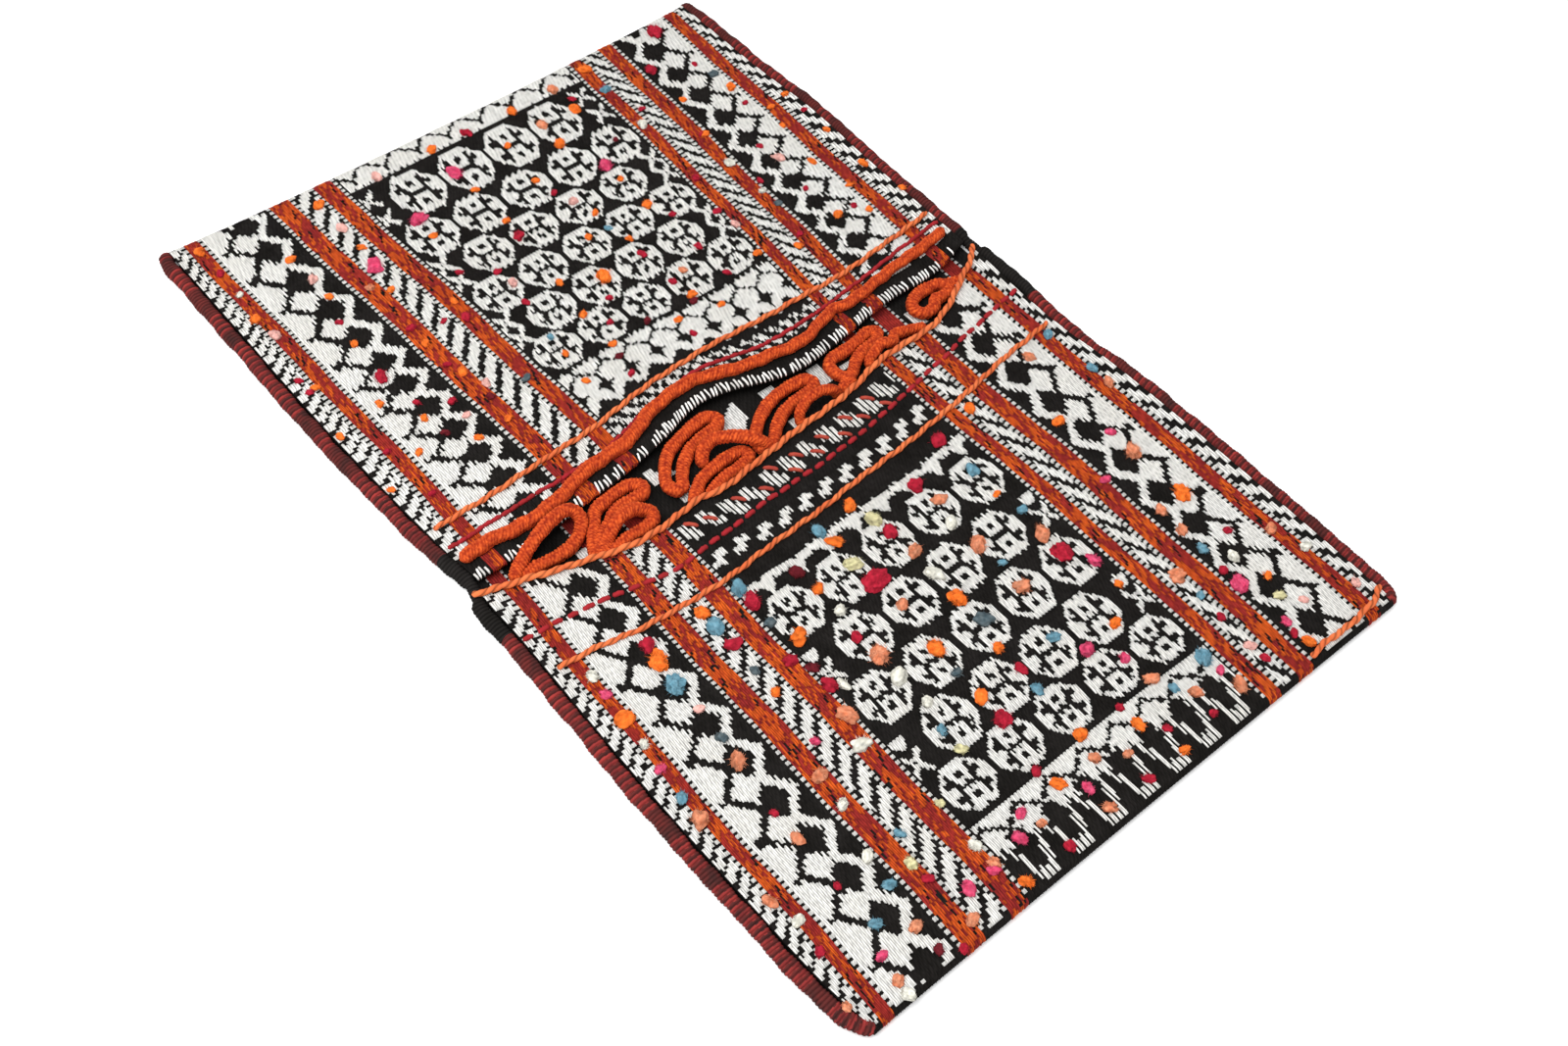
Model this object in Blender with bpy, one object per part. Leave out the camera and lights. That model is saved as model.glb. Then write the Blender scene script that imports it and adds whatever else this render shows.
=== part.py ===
# Kilim saddle bag, laid flat: one long woven strip folded up at both ends into two pouches,
# with a bare bridge between their mouths. The sides are closed with an overcast wool roll,
# the mouths are trimmed with braid and cord, a row of braided loops closes them, and knotted
# tufts of dyed wool are scattered over both faces.
#
# Metres, +Z up. The back panel lies on z = 0, X runs across the strip and Y along it, with
# the upper pouch at +Y. The origin is the middle of the back panel's underside.

import math

import bmesh
import bpy
from mathutils import Vector
from mathutils.bvhtree import BVHTree
from mathutils.geometry import delaunay_2d_cdt

MM = 0.001
GAP = 0.4 * MM                 # clear space kept between separate pieces

# The strip and its folds
HALF_LENGTH = 392 * MM         # middle of the bag to the outside of each fold
CLOTH = 2.4 * MM               # thickness of the weave
SIDE_ROOM = 5.2 * MM           # height inside a pouch beside its side seam
POUCH_RISE = 3.6 * MM          # how much higher the face stands in the middle
FOLD_STEPS = 4                 # facets round each fold
RELIEF = 0.6 * MM              # bands and brocaded motifs stand this much above the ground
SLOPE = 0.9 * MM               # width of the slope round a raised motif

# The side seams: the outer line of the roll, as (y, x), from the upper fold to the lower one
ROLL = 5.6 * MM                # half the width of the overcast roll
LEFT_LINE = [(392, -252), (200, -249), (20, -246), (-20, -249.5), (-188, -256.5), (-392, -247)]
RIGHT_LINE = [(392, 254), (200, 251.5), (30, 248), (-20, 249.5), (-188, 256.5), (-392, 250)]
WRAP_PITCH = 13.6 * MM         # one dark and one red wrap of the overcast roll
WRAP_DEPTH = 0.16              # how far the valley between wraps cuts into the roll's radius

# The free edges of the two faces, as (x, y), left to right
UPPER_MOUTH = [(-250, 8), (-200, 6), (-147, 12), (-100, 17), (-63, 24.5), (-25, 33.7), (0, 30.5),
               (37, 17.8), (63, 14.5), (100, 19), (153, 26.5), (207, 27.8), (250, 40)]
LOWER_MOUTH = [(-250, -5), (-217, -12), (-183, -23), (-133, -37.2), (-83, -34), (-58, -37),
               (-13, -31.3), (62, -25), (113, -15), (160, -13.4), (188, -5), (213, 9), (250, 26)]
HEM_WIDTH = 13 * MM            # rolled hem of the upper mouth
HEM_RISE = 2.2 * MM

# The orange warp bands, as (left, right), at the fold and at the mouth of each pouch
UPPER_BANDS_FOLD = [(-231, -220), (-160, -144), (-122.5, -107.5),
                    (125, 136), (154, 166), (222.5, 233)]
UPPER_BANDS_MOUTH = [(-222, -211), (-142.5, -127.5), (-102.5, -90),
                     (112.5, 122.5), (142.5, 155), (215, 227)]
LOWER_BANDS = [(-232, -222.5), (-163.5, -148.5), (-126.5, -111.5),
               (115, 126.5), (145, 160), (217.5, 230)]

# The brocaded rosettes stand in rows of five and four; a short row ends in stacked crosses
ROSETTE = (42 * MM, 37 * MM)
ROSETTE_STEP = 43 * MM
CROSS = 15 * MM
UPPER_ROWS = [(333, 4), (283, 5), (243.5, 4), (207, 5), (168.5, 4), (134.5, 5)]
LOWER_ROWS = [(-143, 5), (-185.5, 4), (-229.5, 5), (-272, 4), (-310.5, 5)]

# The comb borders: a white field with a zigzag inner edge and a black star in each bay
COMB_PITCH = 35.5 * MM
COMB_PEAK = 0.82               # share of the border's width that the white reaches at a star
COMB_TROUGH = 0.62
STAR_PLACE = 0.54
STAR = 17 * MM
STRIPE_PITCH = 22 * MM         # slanted stripes of the narrow borders
FRIEZE_PITCH = 36 * MM         # the toothed white frieze along the upper fold
FRIEZE_DEPTH = 15 * MM
MOUTH_BLOCK = (13 * MM, 18 * MM)
MOUTH_BLOCKS = 7               # white blocks between the lower mouth and the cord below it

# Cords laid on the faces and sewn down along their whole length, as (x, y)
MOUTH_BRAID = [(-236, 22), (-217, 23.7), (-180, 20.3), (-150, 23.7), (-133, 29.5), (-108, 32.8),
               (-83, 35.3), (-63, 43.7), (-46.7, 47.8), (-25, 50.3), (-8.3, 47.8), (6.7, 42),
               (23, 37), (43, 34.5), (63, 31.3), (80, 32.2), (110, 40.3), (130, 39.5),
               (167, 44.5), (207, 48.7), (231, 52)]
COUCHED_UPPER = [(-235, 55.5), (-190, 56), (-136.5, 58), (-90, 61), (-36.5, 68), (16.5, 69),
                 (96.5, 66.5), (163.5, 67.5), (234, 76)]
COUCHED_LOWER = [(-236, -84), (-203.5, -87.5), (-170, -94), (-130, -97.5), (-103.5, -97.5),
                 (-36.5, -94), (30, -89), (96.5, -84), (130, -79), (180, -71), (236, -63.5)]
CORNER_STITCH = [(178, -383), (196, -385), (214, -384), (232, -382)]
BRAID_D = 8.2 * MM
MOUTH_CORD_D = 5 * MM
COUCHED_D = 4.6 * MM
CORNER_D = 4.4 * MM

# Closing loops: each braid's diameter and its route from the mouth edge and back, as (x, y, z)
LOOPS = [
    ("closing_loop_01", 9.2, [(-210, -4.5, 10), (-198, 1, 15.4), (-182, 6.6, 19), (-167, 10.4, 19.4),
                              (-156, 9.8, 18.6), (-152, 3, 13), (-159, -5, 8.4),
                              (-172, -10.2, 8), (-187, -10.4, 8.4), (-198, -9.6, 8.8)]),
    ("closing_loop_02", 9.2, [(-154, -14, 7.6), (-145.6, -4, 7.6), (-138.5, 4.4, 7.6),
                              (-125, 7.4, 7.6), (-109, 8.6, 7.6), (-100.4, 3.6, 7.6),
                              (-102, -3.2, 7.6), (-113, -3.4, 7.6), (-127, -3.8, 7.6),
                              (-137, -9.8, 7.6)]),
    ("closing_loop_03", 9.2, [(-150, -23, 8.8), (-143.5, -19.4, 12), (-134, -16, 17),
                              (-122, -13.8, 15), (-112.5, -16, 10), (-108.5, -21.5, 8.2),
                              (-113.5, -27, 8.6), (-124, -28.4, 9), (-135, -28.2, 9.2)]),
    ("closing_loop_04", 9.2, [(-85, -7.5, 7.6), (-78.5, 3, 7.6), (-68, 13, 7.6), (-54, 18.6, 7.6),
                              (-38, 22.4, 7.6), (-25.5, 22.8, 7.6), (-19.4, 17, 7.6),
                              (-25, 11.4, 7.6), (-38, 10.6, 7.6), (-51, 7.4, 7.6),
                              (-62.5, 1, 7.6), (-70.5, -6.5, 7.6)]),
    ("closing_loop_05", 9.2, [(-73, -25.5, 8.8), (-63, -19, 8.2), (-49, -15.8, 7.8),
                              (-34, -14.6, 7.6), (-24, -17, 7.6), (-24.5, -24, 8),
                              (-36, -27, 8.4), (-49, -28.2, 8.8)]),
    ("closing_loop_06", 9.2, [(-52, -5.8, 7.8), (-49.5, -3, 11), (-45, -0.8, 14.5),
                              (-37.5, -0.8, 16), (-29.5, -6, 18), (-21.5, -12.8, 18.8),
                              (-14.5, -19, 16), (-9.5, -23.4, 12)]),
    ("closing_loop_07", 9.2, [(-8, -12.5, 8.4), (1, -4, 8), (14, 3.6, 7.6), (29, 8, 7.6),
                              (44, 8.6, 7.6), (55, 6.4, 7.6), (58, 0, 7.6), (50, -4, 7.6),
                              (36, -4.4, 7.6), (22, -7.6, 7.6), (10, -14.5, 8.2), (3, -20.5, 8.6)]),
    ("closing_loop_08", 7.6, [(27.5, -20.2, 6.8), (30, -16.6, 12), (37, -14.6, 16.5), (47, -14.2, 18.5),
                              (57, -15.2, 16), (63, -17, 11.5), (65, -19, 6.8)]),
    ("closing_loop_09", 9.2, [(79.5, -11.5, 8.4), (77, -2, 7.6), (78, 6.2, 7.6), (86, 10.4, 7.6),
                              (99, 10.2, 7.6), (111, 11.6, 7.6), (122, 13.6, 7.6),
                              (128.6, 9.6, 7.6), (122, 3.4, 7.6), (110, 1.8, 7.6),
                              (98, -1.8, 7.6), (90, -8, 8)]),
    ("closing_loop_10", 8.0, [(104.5, -9.4, 8.4), (109, -8.2, 13), (117, -6.2, 16.5),
                              (125.5, -7, 13), (130.5, -6.2, 9), (138, -0.6, 7.8),
                              (147, -2.6, 7.6), (155, -5.4, 7.6)]),
    ("closing_loop_11", 9.2, [(203, 13, 9.4), (199, 17, 8.6), (190, 19.4, 7.6),
                              (179, 19.2, 7.6), (170.4, 15, 7.6), (167, 8, 7.6),
                              (172, 1.4, 7.6), (181, 1.8, 7.8), (187, 7, 7.8)]),
]

# The largest tufts: x, y, length across the face, the way the cut ends point, colour of wool
TUFTS = [
    ("tuft_01", -77, 305, 9, 200, "pink"), ("tuft_02", -131, 283, 10, 250, "pink"),
    ("tuft_03", -26, 331, 9, 300, "pink"), ("tuft_04", 73, 267, 9, 240, "pink"),
    ("tuft_05", 207, 374, 14, 250, "crimson"), ("tuft_06", 129, 340, 8, 180, "blue"),
    ("tuft_07", 94, 335, 9, 270, "orange"), ("tuft_08", 59, 309, 9, 230, "orange"),
    ("tuft_09", -25, 364, 8, 220, "orange"), ("tuft_10", 52, 364, 8, 270, "orange"),
    ("tuft_11", 174, 338, 9, 260, "crimson"), ("tuft_12", -27.5, 244.5, 9, 230, "crimson"),
    ("tuft_13", -2.5, 172, 12, 250, "orange"), ("tuft_14", 72, 213, 8, 220, "orange"),
    ("tuft_15", 154, 212, 8, 270, "cream"), ("tuft_16", -187.5, 189.5, 10, 260, "crimson"),
    ("tuft_17", -29, -161, 15, 190, "crimson"), ("tuft_18", -67, -206, 14, 230, "peach"),
    ("tuft_19", 89, -222, 14, 260, "crimson"), ("tuft_20", -182, -120, 13, 250, "orange"),
    ("tuft_21", -184.5, -140.5, 13, 240, "blue"), ("tuft_22", -105, -122, 12, 250, "crimson"),
    ("tuft_23", 47.5, -182, 12, 220, "peach"), ("tuft_24", 5, -205, 12, 260, "orange"),
    ("tuft_25", -33.5, -225.5, 12, 250, "orange"), ("tuft_26", -37, -291, 12, 230, "crimson"),
    ("tuft_27", 195, -190.5, 12, 240, "peach"), ("tuft_28", 195, -238, 12, 250, "orange"),
    ("tuft_29", 167.5, -315.5, 12, 230, "pink"), ("tuft_30", 102.5, -340.5, 12, 250, "blue"),
]
TUFT_SIDES = 5

COLOURS = {
    "black": (0.018, 0.017, 0.016), "white": (0.78, 0.76, 0.70), "orange": (0.62, 0.115, 0.025),
    "rust": (0.42, 0.06, 0.022), "wrap_dark": (0.045, 0.012, 0.012), "wrap_red": (0.16, 0.02, 0.02),
    "braid": (0.64, 0.13, 0.025), "crimson": (0.33, 0.01, 0.022), "pink": (0.62, 0.06, 0.17),
    "peach": (0.75, 0.33, 0.18), "blue": (0.12, 0.28, 0.36), "cream": (0.76, 0.72, 0.56),
}


for old in list(bpy.data.objects):
    bpy.data.objects.remove(old, do_unlink=True)


def wool(name):
    """A matt woollen material of one of the bag's colours."""
    material = bpy.data.materials.get("wool_" + name)
    if material:
        return material
    material = bpy.data.materials.new("wool_" + name)
    material.use_nodes = True
    shader = material.node_tree.nodes["Principled BSDF"]
    shader.inputs["Base Color"].default_value = (*COLOURS[name], 1.0)
    shader.inputs["Roughness"].default_value = 0.92
    shader.inputs["Metallic"].default_value = 0.0
    material.diffuse_color = (*COLOURS[name], 1.0)
    return material


def add_object(name, data, colours):
    """Link a mesh or curve to the scene as one piece, with its wools in order."""
    for colour in colours:
        data.materials.append(wool(colour))
    piece = bpy.data.objects.new(name, data)
    bpy.context.scene.collection.objects.link(piece)
    return piece


def along(points, t):
    """The second value of (t, value) pairs in millimetres at t metres, on a smooth curve."""
    pairs = sorted(points)
    t_mm = min(max(t / MM, pairs[0][0]), pairs[-1][0])
    i = max(j for j in range(len(pairs) - 1) if pairs[j][0] <= t_mm)
    (t0, v0), (t1, v1) = pairs[i], pairs[i + 1]
    before = pairs[i - 1] if i else pairs[0]
    after = pairs[i + 2] if i + 2 < len(pairs) else pairs[-1]
    slope0 = (v1 - before[1]) / (t1 - before[0])
    slope1 = (after[1] - v0) / (after[0] - t0)
    u = (t_mm - t0) / (t1 - t0)
    width = t1 - t0
    value = ((2 * u ** 3 - 3 * u ** 2 + 1) * v0 + (u ** 3 - 2 * u ** 2 + u) * width * slope0
             + (3 * u ** 2 - 2 * u ** 3) * v1 + (u ** 3 - u ** 2) * width * slope1)
    return value * MM


def route(points, step):
    """Evenly spaced points on a smooth curve through the route's own points, in metres."""
    knots = [Vector(p) * MM for p in points]
    fine = []
    for i in range(len(knots) - 1):
        p0 = knots[i - 1] if i else knots[0] * 2 - knots[1]
        p1, p2 = knots[i], knots[i + 1]
        p3 = knots[i + 2] if i + 2 < len(knots) else knots[-1] * 2 - knots[-2]
        for j in range(12):
            u = j / 12
            fine.append(0.5 * ((2 * p1) + (p2 - p0) * u + (2 * p0 - 5 * p1 + 4 * p2 - p3) * u ** 2
                               + (3 * p1 - p0 - 3 * p2 + p3) * u ** 3))
    fine.append(knots[-1])
    lengths = [0.0]
    for a, b in zip(fine, fine[1:]):
        lengths.append(lengths[-1] + (b - a).length)
    count = max(2, round(lengths[-1] / step))
    result = []
    j = 0
    for i in range(count + 1):
        want = lengths[-1] * i / count
        while j < len(fine) - 2 and lengths[j + 1] < want:
            j += 1
        share = (want - lengths[j]) / (lengths[j + 1] - lengths[j])
        result.append(fine[j].lerp(fine[j + 1], min(1.0, share)))
    return result


def cloth_side(line, y):
    """Where the cloth stops beside the overcast roll, on one side, at y."""
    sign = 1 if line is RIGHT_LINE else -1
    return along(line, y) - sign * (2 * ROLL + GAP)


def across(x, y):
    """Place across the cloth, from 0 at the left seam to 1 at the right one."""
    left = cloth_side(LEFT_LINE, y)
    right = cloth_side(RIGHT_LINE, y)
    return min(1.0, max(0.0, (x - left) / (right - left)))


def mouth_edge(x, upper):
    return along(UPPER_MOUTH if upper else LOWER_MOUTH, x)


def face_top(x, y, upper):
    """Height of a pouch's face: level at the seams and fold, fuller in the middle."""
    depth = abs(y) / HALF_LENGTH
    crown = math.sin(math.pi * across(x, y)) ** 0.7
    fullness = math.sin(math.pi / 2 * min(1.0, 1.6 * max(0.0, 1 - depth))) ** 0.6
    ripple = 0.35 * MM * math.sin(x / (31 * MM) + y / (47 * MM)) * crown * fullness
    top = 2 * CLOTH + SIDE_ROOM + POUCH_RISE * crown * fullness + ripple
    if upper:
        inward = y - mouth_edge(x, True)
        if inward < HEM_WIDTH:
            top += HEM_RISE * crown * math.sin(math.pi * (0.12 + 0.88 * max(0.0, inward) / HEM_WIDTH))
    return top


def band_edges(y, upper):
    """The band edges across the strip at y, left to right."""
    if not upper:
        return [x * MM for pair in LOWER_BANDS for x in pair]
    share = min(1.0, max(0.0, (y - 20 * MM) / (HALF_LENGTH - 20 * MM)))
    fold = [x for pair in UPPER_BANDS_FOLD for x in pair]
    mouth = [x for pair in UPPER_BANDS_MOUTH for x in pair]
    return [(m + (f - m) * share) * MM for m, f in zip(mouth, fold)]


def fold_start(x, upper):
    """Where the flat face ends and the turn of the fold begins, at x."""
    u = across(x, HALF_LENGTH if upper else -HALF_LENGTH)
    dip = (6.5 if upper else 1.5) * MM * math.sin(math.pi * u) ** 0.6
    radius = CLOTH + SIDE_ROOM / 2
    y = HALF_LENGTH - dip - radius
    return y if upper else -y


class Layout:
    """Plan view of one face: outlines with a colour and a height above the ground weave."""

    def __init__(self):
        self.points = []
        self.lifts = []
        self.outlines = []
        self.colours = []

    def add(self, outline, colour, lift=0.0):
        """Add one closed outline, kept anticlockwise. A later one lies over an earlier one."""
        first = len(self.points)
        self.points += [Vector(p) for p in outline]
        self.lifts += [lift] * len(outline)
        order = list(range(first, len(self.points)))
        turn = sum(self.points[a].cross(self.points[b]) for a, b in zip(order, order[1:] + order[:1]))
        self.outlines.append(order if turn > 0 else order[::-1])
        self.colours.append(colour)

    def add_raised(self, outline, colour):
        """An outline whose ground line is SLOPE outside its raised one."""
        middle = sum((Vector(p) for p in outline), Vector((0, 0))) / len(outline)
        foot = [Vector(p) + (Vector(p) - middle).normalized() * SLOPE for p in outline]
        self.add(foot, colour)
        self.add(outline, colour, RELIEF)


def octagon(x, y, width, height):
    """A rosette's stepped outline, as an octagon whose corners are cut at a third."""
    w, h = width / 2, height / 2
    return [(x + a * w, y + b * h) for a, b in
            ((1, 0.42), (0.5, 1), (-0.5, 1), (-1, 0.42), (-1, -0.42), (-0.5, -1), (0.5, -1), (1, -0.42))]


def diamond(x, y, width, height):
    w, h = width / 2, height / 2
    return [(x + w, y), (x, y + h), (x - w, y), (x, y - h)]


def lay_bands(layout, upper):
    """The six raised orange bands, from the fold to just short of the mouth."""
    sign = 1 if upper else -1
    for k in range(6):
        left, right = [], []
        for i in range(6):
            share = i / 5
            y_mid = sign * (HALF_LENGTH - 9 * MM) * (1 - share) + share * sign * 60 * MM
            edges = band_edges(y_mid, upper)
            x0, x1 = edges[2 * k], edges[2 * k + 1]
            start = fold_start((x0 + x1) / 2, upper) - sign * 2.5 * MM
            end = mouth_edge((x0 + x1) / 2, upper) + sign * (HEM_WIDTH + 2 * MM if upper else 4 * MM)
            y = start + (end - start) * share
            edges = band_edges(y, upper)
            left.append((edges[2 * k] + SLOPE, y))
            right.append((edges[2 * k + 1] - SLOPE, y))
        foot_left = [(x - SLOPE, y) for x, y in left]
        foot_right = [(x + SLOPE, y) for x, y in right]
        colour = "orange" if k in (1, 4) else "rust"
        layout.add(foot_left + foot_right[::-1], colour)
        layout.add(left + right[::-1], colour, RELIEF)


def lay_rosettes(layout, upper):
    """Rows of white rosettes with a black bar, and crosses at the ends of the short rows."""
    for row_y, count in (UPPER_ROWS if upper else LOWER_ROWS):
        y = row_y * MM
        edges = band_edges(y, upper)
        middle = (edges[5] + edges[6]) / 2
        for i in range(count):
            x = middle + (i - (count - 1) / 2) * ROSETTE_STEP
            layout.add_raised(octagon(x, y, ROSETTE[0] - 2 * SLOPE, ROSETTE[1] - 2 * SLOPE), "white")
            layout.add(diamond(x, y, 22 * MM, 17 * MM), "black", RELIEF)
        if count == 4:
            for side in (-1, 1):
                for level in (-1, 1):
                    cross_x = middle + side * 2.37 * ROSETTE_STEP
                    layout.add(diamond(cross_x, y + level * 9.5 * MM, CROSS, CROSS), "white")


def lay_comb_border(layout, upper, mirrored):
    """A white field whose inner edge runs in zigzag, with a black star in each bay."""
    sign = 1 if upper else -1
    first = 84 * MM if upper else -106 * MM
    last = sign * (HALF_LENGTH - 16 * MM)
    count = int(abs(last - first) / COMB_PITCH)

    def place(share, y):
        edges = band_edges(y, upper)
        outer, inner = (edges[10], edges[9]) if mirrored else (edges[1], edges[2])
        return (outer + (inner - outer) * share, y)

    straight = [place(0.05, first), place(0.05, (first + last) / 2), place(0.05, last)]
    zigzag, stars = [], []
    for i in range(count + 1):
        y = first + (last - first) * i / count
        zigzag.append(place(COMB_TROUGH, y))
        if i < count:
            half = y + (last - first) / count / 2
            zigzag.append(place(COMB_PEAK, half))
            stars.append(diamond(*place(STAR_PLACE, half), STAR, STAR))
    layout.add(straight + zigzag[::-1], "white")
    for star in stars:
        layout.add(star, "black")


def lay_stripe_border(layout, upper, first_edge):
    """Slanted white stripes in the narrow border between two bands."""
    sign = 1 if upper else -1
    start = 70 * MM if upper else -110 * MM
    count = int((HALF_LENGTH - 30 * MM - abs(start)) / STRIPE_PITCH)
    for i in range(count):
        y = start + sign * (i + 0.5) * STRIPE_PITCH
        edges = band_edges(y, upper)
        x0, x1 = edges[first_edge] + 3 * MM, edges[first_edge + 1] - 3 * MM
        rise = 9 * MM if first_edge < 6 else -9 * MM
        layout.add([(x0, y - rise), (x1, y + rise), (x1, y + rise + 8 * MM), (x0, y - rise + 8 * MM)],
                   "white")


def lay_frieze(layout):
    """White teeth between the upper fold and the first row of rosettes."""
    top = HALF_LENGTH - 17 * MM
    edges = band_edges(top, True)
    left, right = edges[5] + 4 * MM, edges[6] - 4 * MM
    teeth = round((right - left) / FRIEZE_PITCH)
    outline = [(left, top), (right, top)]
    for i in range(teeth, 0, -1):
        outline.append((left + (right - left) * (i - 0.5) / teeth, top - FRIEZE_DEPTH))
        outline.append((left + (right - left) * (i - 1) / teeth, top - FRIEZE_DEPTH / 3))
    layout.add(outline[:-1], "white")


def lay_mouth_blocks(layout):
    """A row of white blocks on the black ground beside the lower mouth."""
    edges = band_edges(-60 * MM, False)
    for i in range(MOUTH_BLOCKS):
        x = edges[5] + (edges[6] - edges[5]) * (i + 0.5) / MOUTH_BLOCKS
        y = mouth_edge(x, False) - 8 * MM
        w, h = MOUTH_BLOCK[0] / 2, MOUTH_BLOCK[1]
        layout.add([(x - w, y), (x - w, y - h), (x + w, y - h), (x + w, y)], "white")


def face_boundary(upper):
    """Outline of one face in plan, as points with the side each belongs to."""
    fold_y = HALF_LENGTH if upper else -HALF_LENGTH
    columns = band_edges(fold_y, upper)
    columns = [cloth_side(LEFT_LINE, fold_y)] + columns + [cloth_side(RIGHT_LINE, fold_y)]
    fold = [(x, fold_start(x, upper)) for x in columns]
    sides = {}
    for name, line in (("left", LEFT_LINE), ("right", RIGHT_LINE)):
        start = fold[0] if name == "left" else fold[-1]
        end_y = mouth_edge(cloth_side(line, 0.0), upper)
        sides[name] = []
        for i in range(1, 9):
            y = start[1] + (end_y - start[1]) * i / 8
            sides[name].append((cloth_side(line, y), y))
    mouth = []
    left_x, right_x = sides["left"][-1][0], sides["right"][-1][0]
    for i in range(1, 16):
        x = left_x + (right_x - left_x) * i / 16
        mouth.append((x, mouth_edge(x, upper)))
    return fold, sides["left"], mouth, sides["right"]


def triangulate(points, outlines):
    """Triangles of a plan, each with the outlines it lies in."""
    result = delaunay_2d_cdt(points, [], outlines, 1, 1e-7)
    return result[0], result[2], result[3], result[5]


def build_cloth():
    """The whole strip as one closed body: two faces, two folds, the back panel and the bridge."""
    mesh = bmesh.new()
    wools = ["black", "white", "orange", "rust"]
    ends = {}
    for upper in (True, False):
        fold, left, mouth, right = face_boundary(upper)
        ring = fold[::-1] + left + mouth + right[::-1]
        ring_size = len(ring)

        layout = Layout()
        layout.add(ring, "black")
        lay_bands(layout, upper)
        lay_rosettes(layout, upper)
        for mirrored in (False, True):
            lay_comb_border(layout, upper, mirrored)
        lay_stripe_border(layout, upper, 3)
        lay_stripe_border(layout, upper, 7)
        if not upper:
            lay_mouth_blocks(layout)
        if upper:
            lay_frieze(layout)
            hem_line = []
            for i in range(1, 16):
                x = mouth[i - 1][0]
                hem_line.append((x, mouth_edge(x, True) + HEM_WIDTH))
            crest = [(x, y - 0.55 * HEM_WIDTH) for x, y in hem_line]
            layout.add(crest + hem_line[::-1], "black")
        plan, triangles, origins, fields = triangulate(layout.points, layout.outlines)
        top = []
        for i, point in enumerate(plan):
            lift = max([layout.lifts[j] for j in origins[i]] or [0.0])
            top.append(mesh.verts.new((point.x, point.y, face_top(point.x, point.y, upper) + lift)))
        for triangle, inside in zip(triangles, fields):
            face = mesh.faces.new([top[i] for i in triangle])
            face.material_index = wools.index(layout.colours[max(inside)])

        under_points = [Vector(p) for p in ring]
        rows = [0.12, 0.3, 0.5, 0.7, 0.88]
        for share in rows:
            for column in range(1, 8):
                u = column / 8
                x = left[3][0] + (right[3][0] - left[3][0]) * u
                start, end = fold_start(x, upper), mouth_edge(x, upper)
                under_points.append(Vector((x, start + (end - start) * share)))
        plan_under, triangles_under, origins_under, _ = triangulate(under_points,
                                                                     [list(range(ring_size))])
        under = []
        for point in plan_under:
            z = face_top(point.x, point.y, upper) - CLOTH
            under.append(mesh.verts.new((point.x, point.y, z)))
        for triangle in triangles_under:
            mesh.faces.new([under[i] for i in triangle])

        top_ring = [None] * ring_size
        for i, sources in enumerate(origins):
            for j in sources:
                if j < ring_size:
                    top_ring[j] = top[i]
        under_ring = [None] * ring_size
        for i, sources in enumerate(origins_under):
            for j in sources:
                if j < ring_size:
                    under_ring[j] = under[i]
        fold_size = len(fold)
        for i in range(fold_size - 1, ring_size):
            j = (i + 1) % ring_size
            mesh.faces.new([top_ring[i], top_ring[j], under_ring[j], under_ring[i]])

        outer = [top_ring[i] for i in range(fold_size)][::-1]
        inner = [under_ring[i] for i in range(fold_size)][::-1]
        sign = 1 if upper else -1
        for step in range(1, FOLD_STEPS + 1):
            angle = math.pi / 2 - math.pi * step / FOLD_STEPS
            next_outer, next_inner = [], []
            for start in [top_ring[i] for i in range(fold_size)][::-1]:
                radius = start.co.z / 2
                y = start.co.y + sign * radius * math.cos(angle)
                next_outer.append(mesh.verts.new((start.co.x, y, radius + radius * math.sin(angle))))
                small = radius - CLOTH
                y = start.co.y + sign * small * math.cos(angle)
                next_inner.append(mesh.verts.new((start.co.x, y, radius + small * math.sin(angle))))
            for k in range(fold_size - 1):
                band = mesh.faces.new([outer[k], outer[k + 1], next_outer[k + 1], next_outer[k]])
                band.material_index = wools.index("orange") if k in (3, 9) else (
                    wools.index("rust") if k % 2 else wools.index("black"))
                mesh.faces.new([inner[k], inner[k + 1], next_inner[k + 1], next_inner[k]])
            for k in (0, fold_size - 1):
                mesh.faces.new([outer[k], next_outer[k], next_inner[k], inner[k]])
            outer, inner = next_outer, next_inner
        ends[upper] = (outer, inner)

    upper_outer, upper_inner = ends[True]
    lower_outer, lower_inner = ends[False]
    last = len(upper_outer) - 1
    edge_rows = {}
    for k, line in ((0, LEFT_LINE), (last, RIGHT_LINE)):
        bottoms, tops = [upper_outer[k]], [upper_inner[k]]
        for i in range(1, 12):
            y = upper_outer[k].co.y + (lower_outer[k].co.y - upper_outer[k].co.y) * i / 12
            bottoms.append(mesh.verts.new((cloth_side(line, y), y, 0.0)))
            tops.append(mesh.verts.new((cloth_side(line, y), y, CLOTH)))
        bottoms.append(lower_outer[k])
        tops.append(lower_inner[k])
        for i in range(12):
            mesh.faces.new([bottoms[i], bottoms[i + 1], tops[i + 1], tops[i]])
        edge_rows[k] = (bottoms, tops)
    for level, (ups, lows) in enumerate(((upper_outer, lower_outer), (upper_inner, lower_inner))):
        for k in range(last):
            ring = [ups[k], ups[k + 1]]
            if k + 1 == last:
                ring += edge_rows[last][level][1:-1]
            ring += [lows[k + 1], lows[k]]
            if k == 0:
                ring += edge_rows[0][level][1:-1][::-1]
            panel = mesh.faces.new(ring)
            panel.material_index = wools.index("rust") if k % 2 else wools.index("black")

    bmesh.ops.recalc_face_normals(mesh, faces=mesh.faces)
    bmesh.ops.triangulate(mesh, faces=mesh.faces)
    data = bpy.data.meshes.new("woven_cloth")
    mesh.to_mesh(data)
    mesh.free()
    return add_object("woven_cloth", data, wools)


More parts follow.
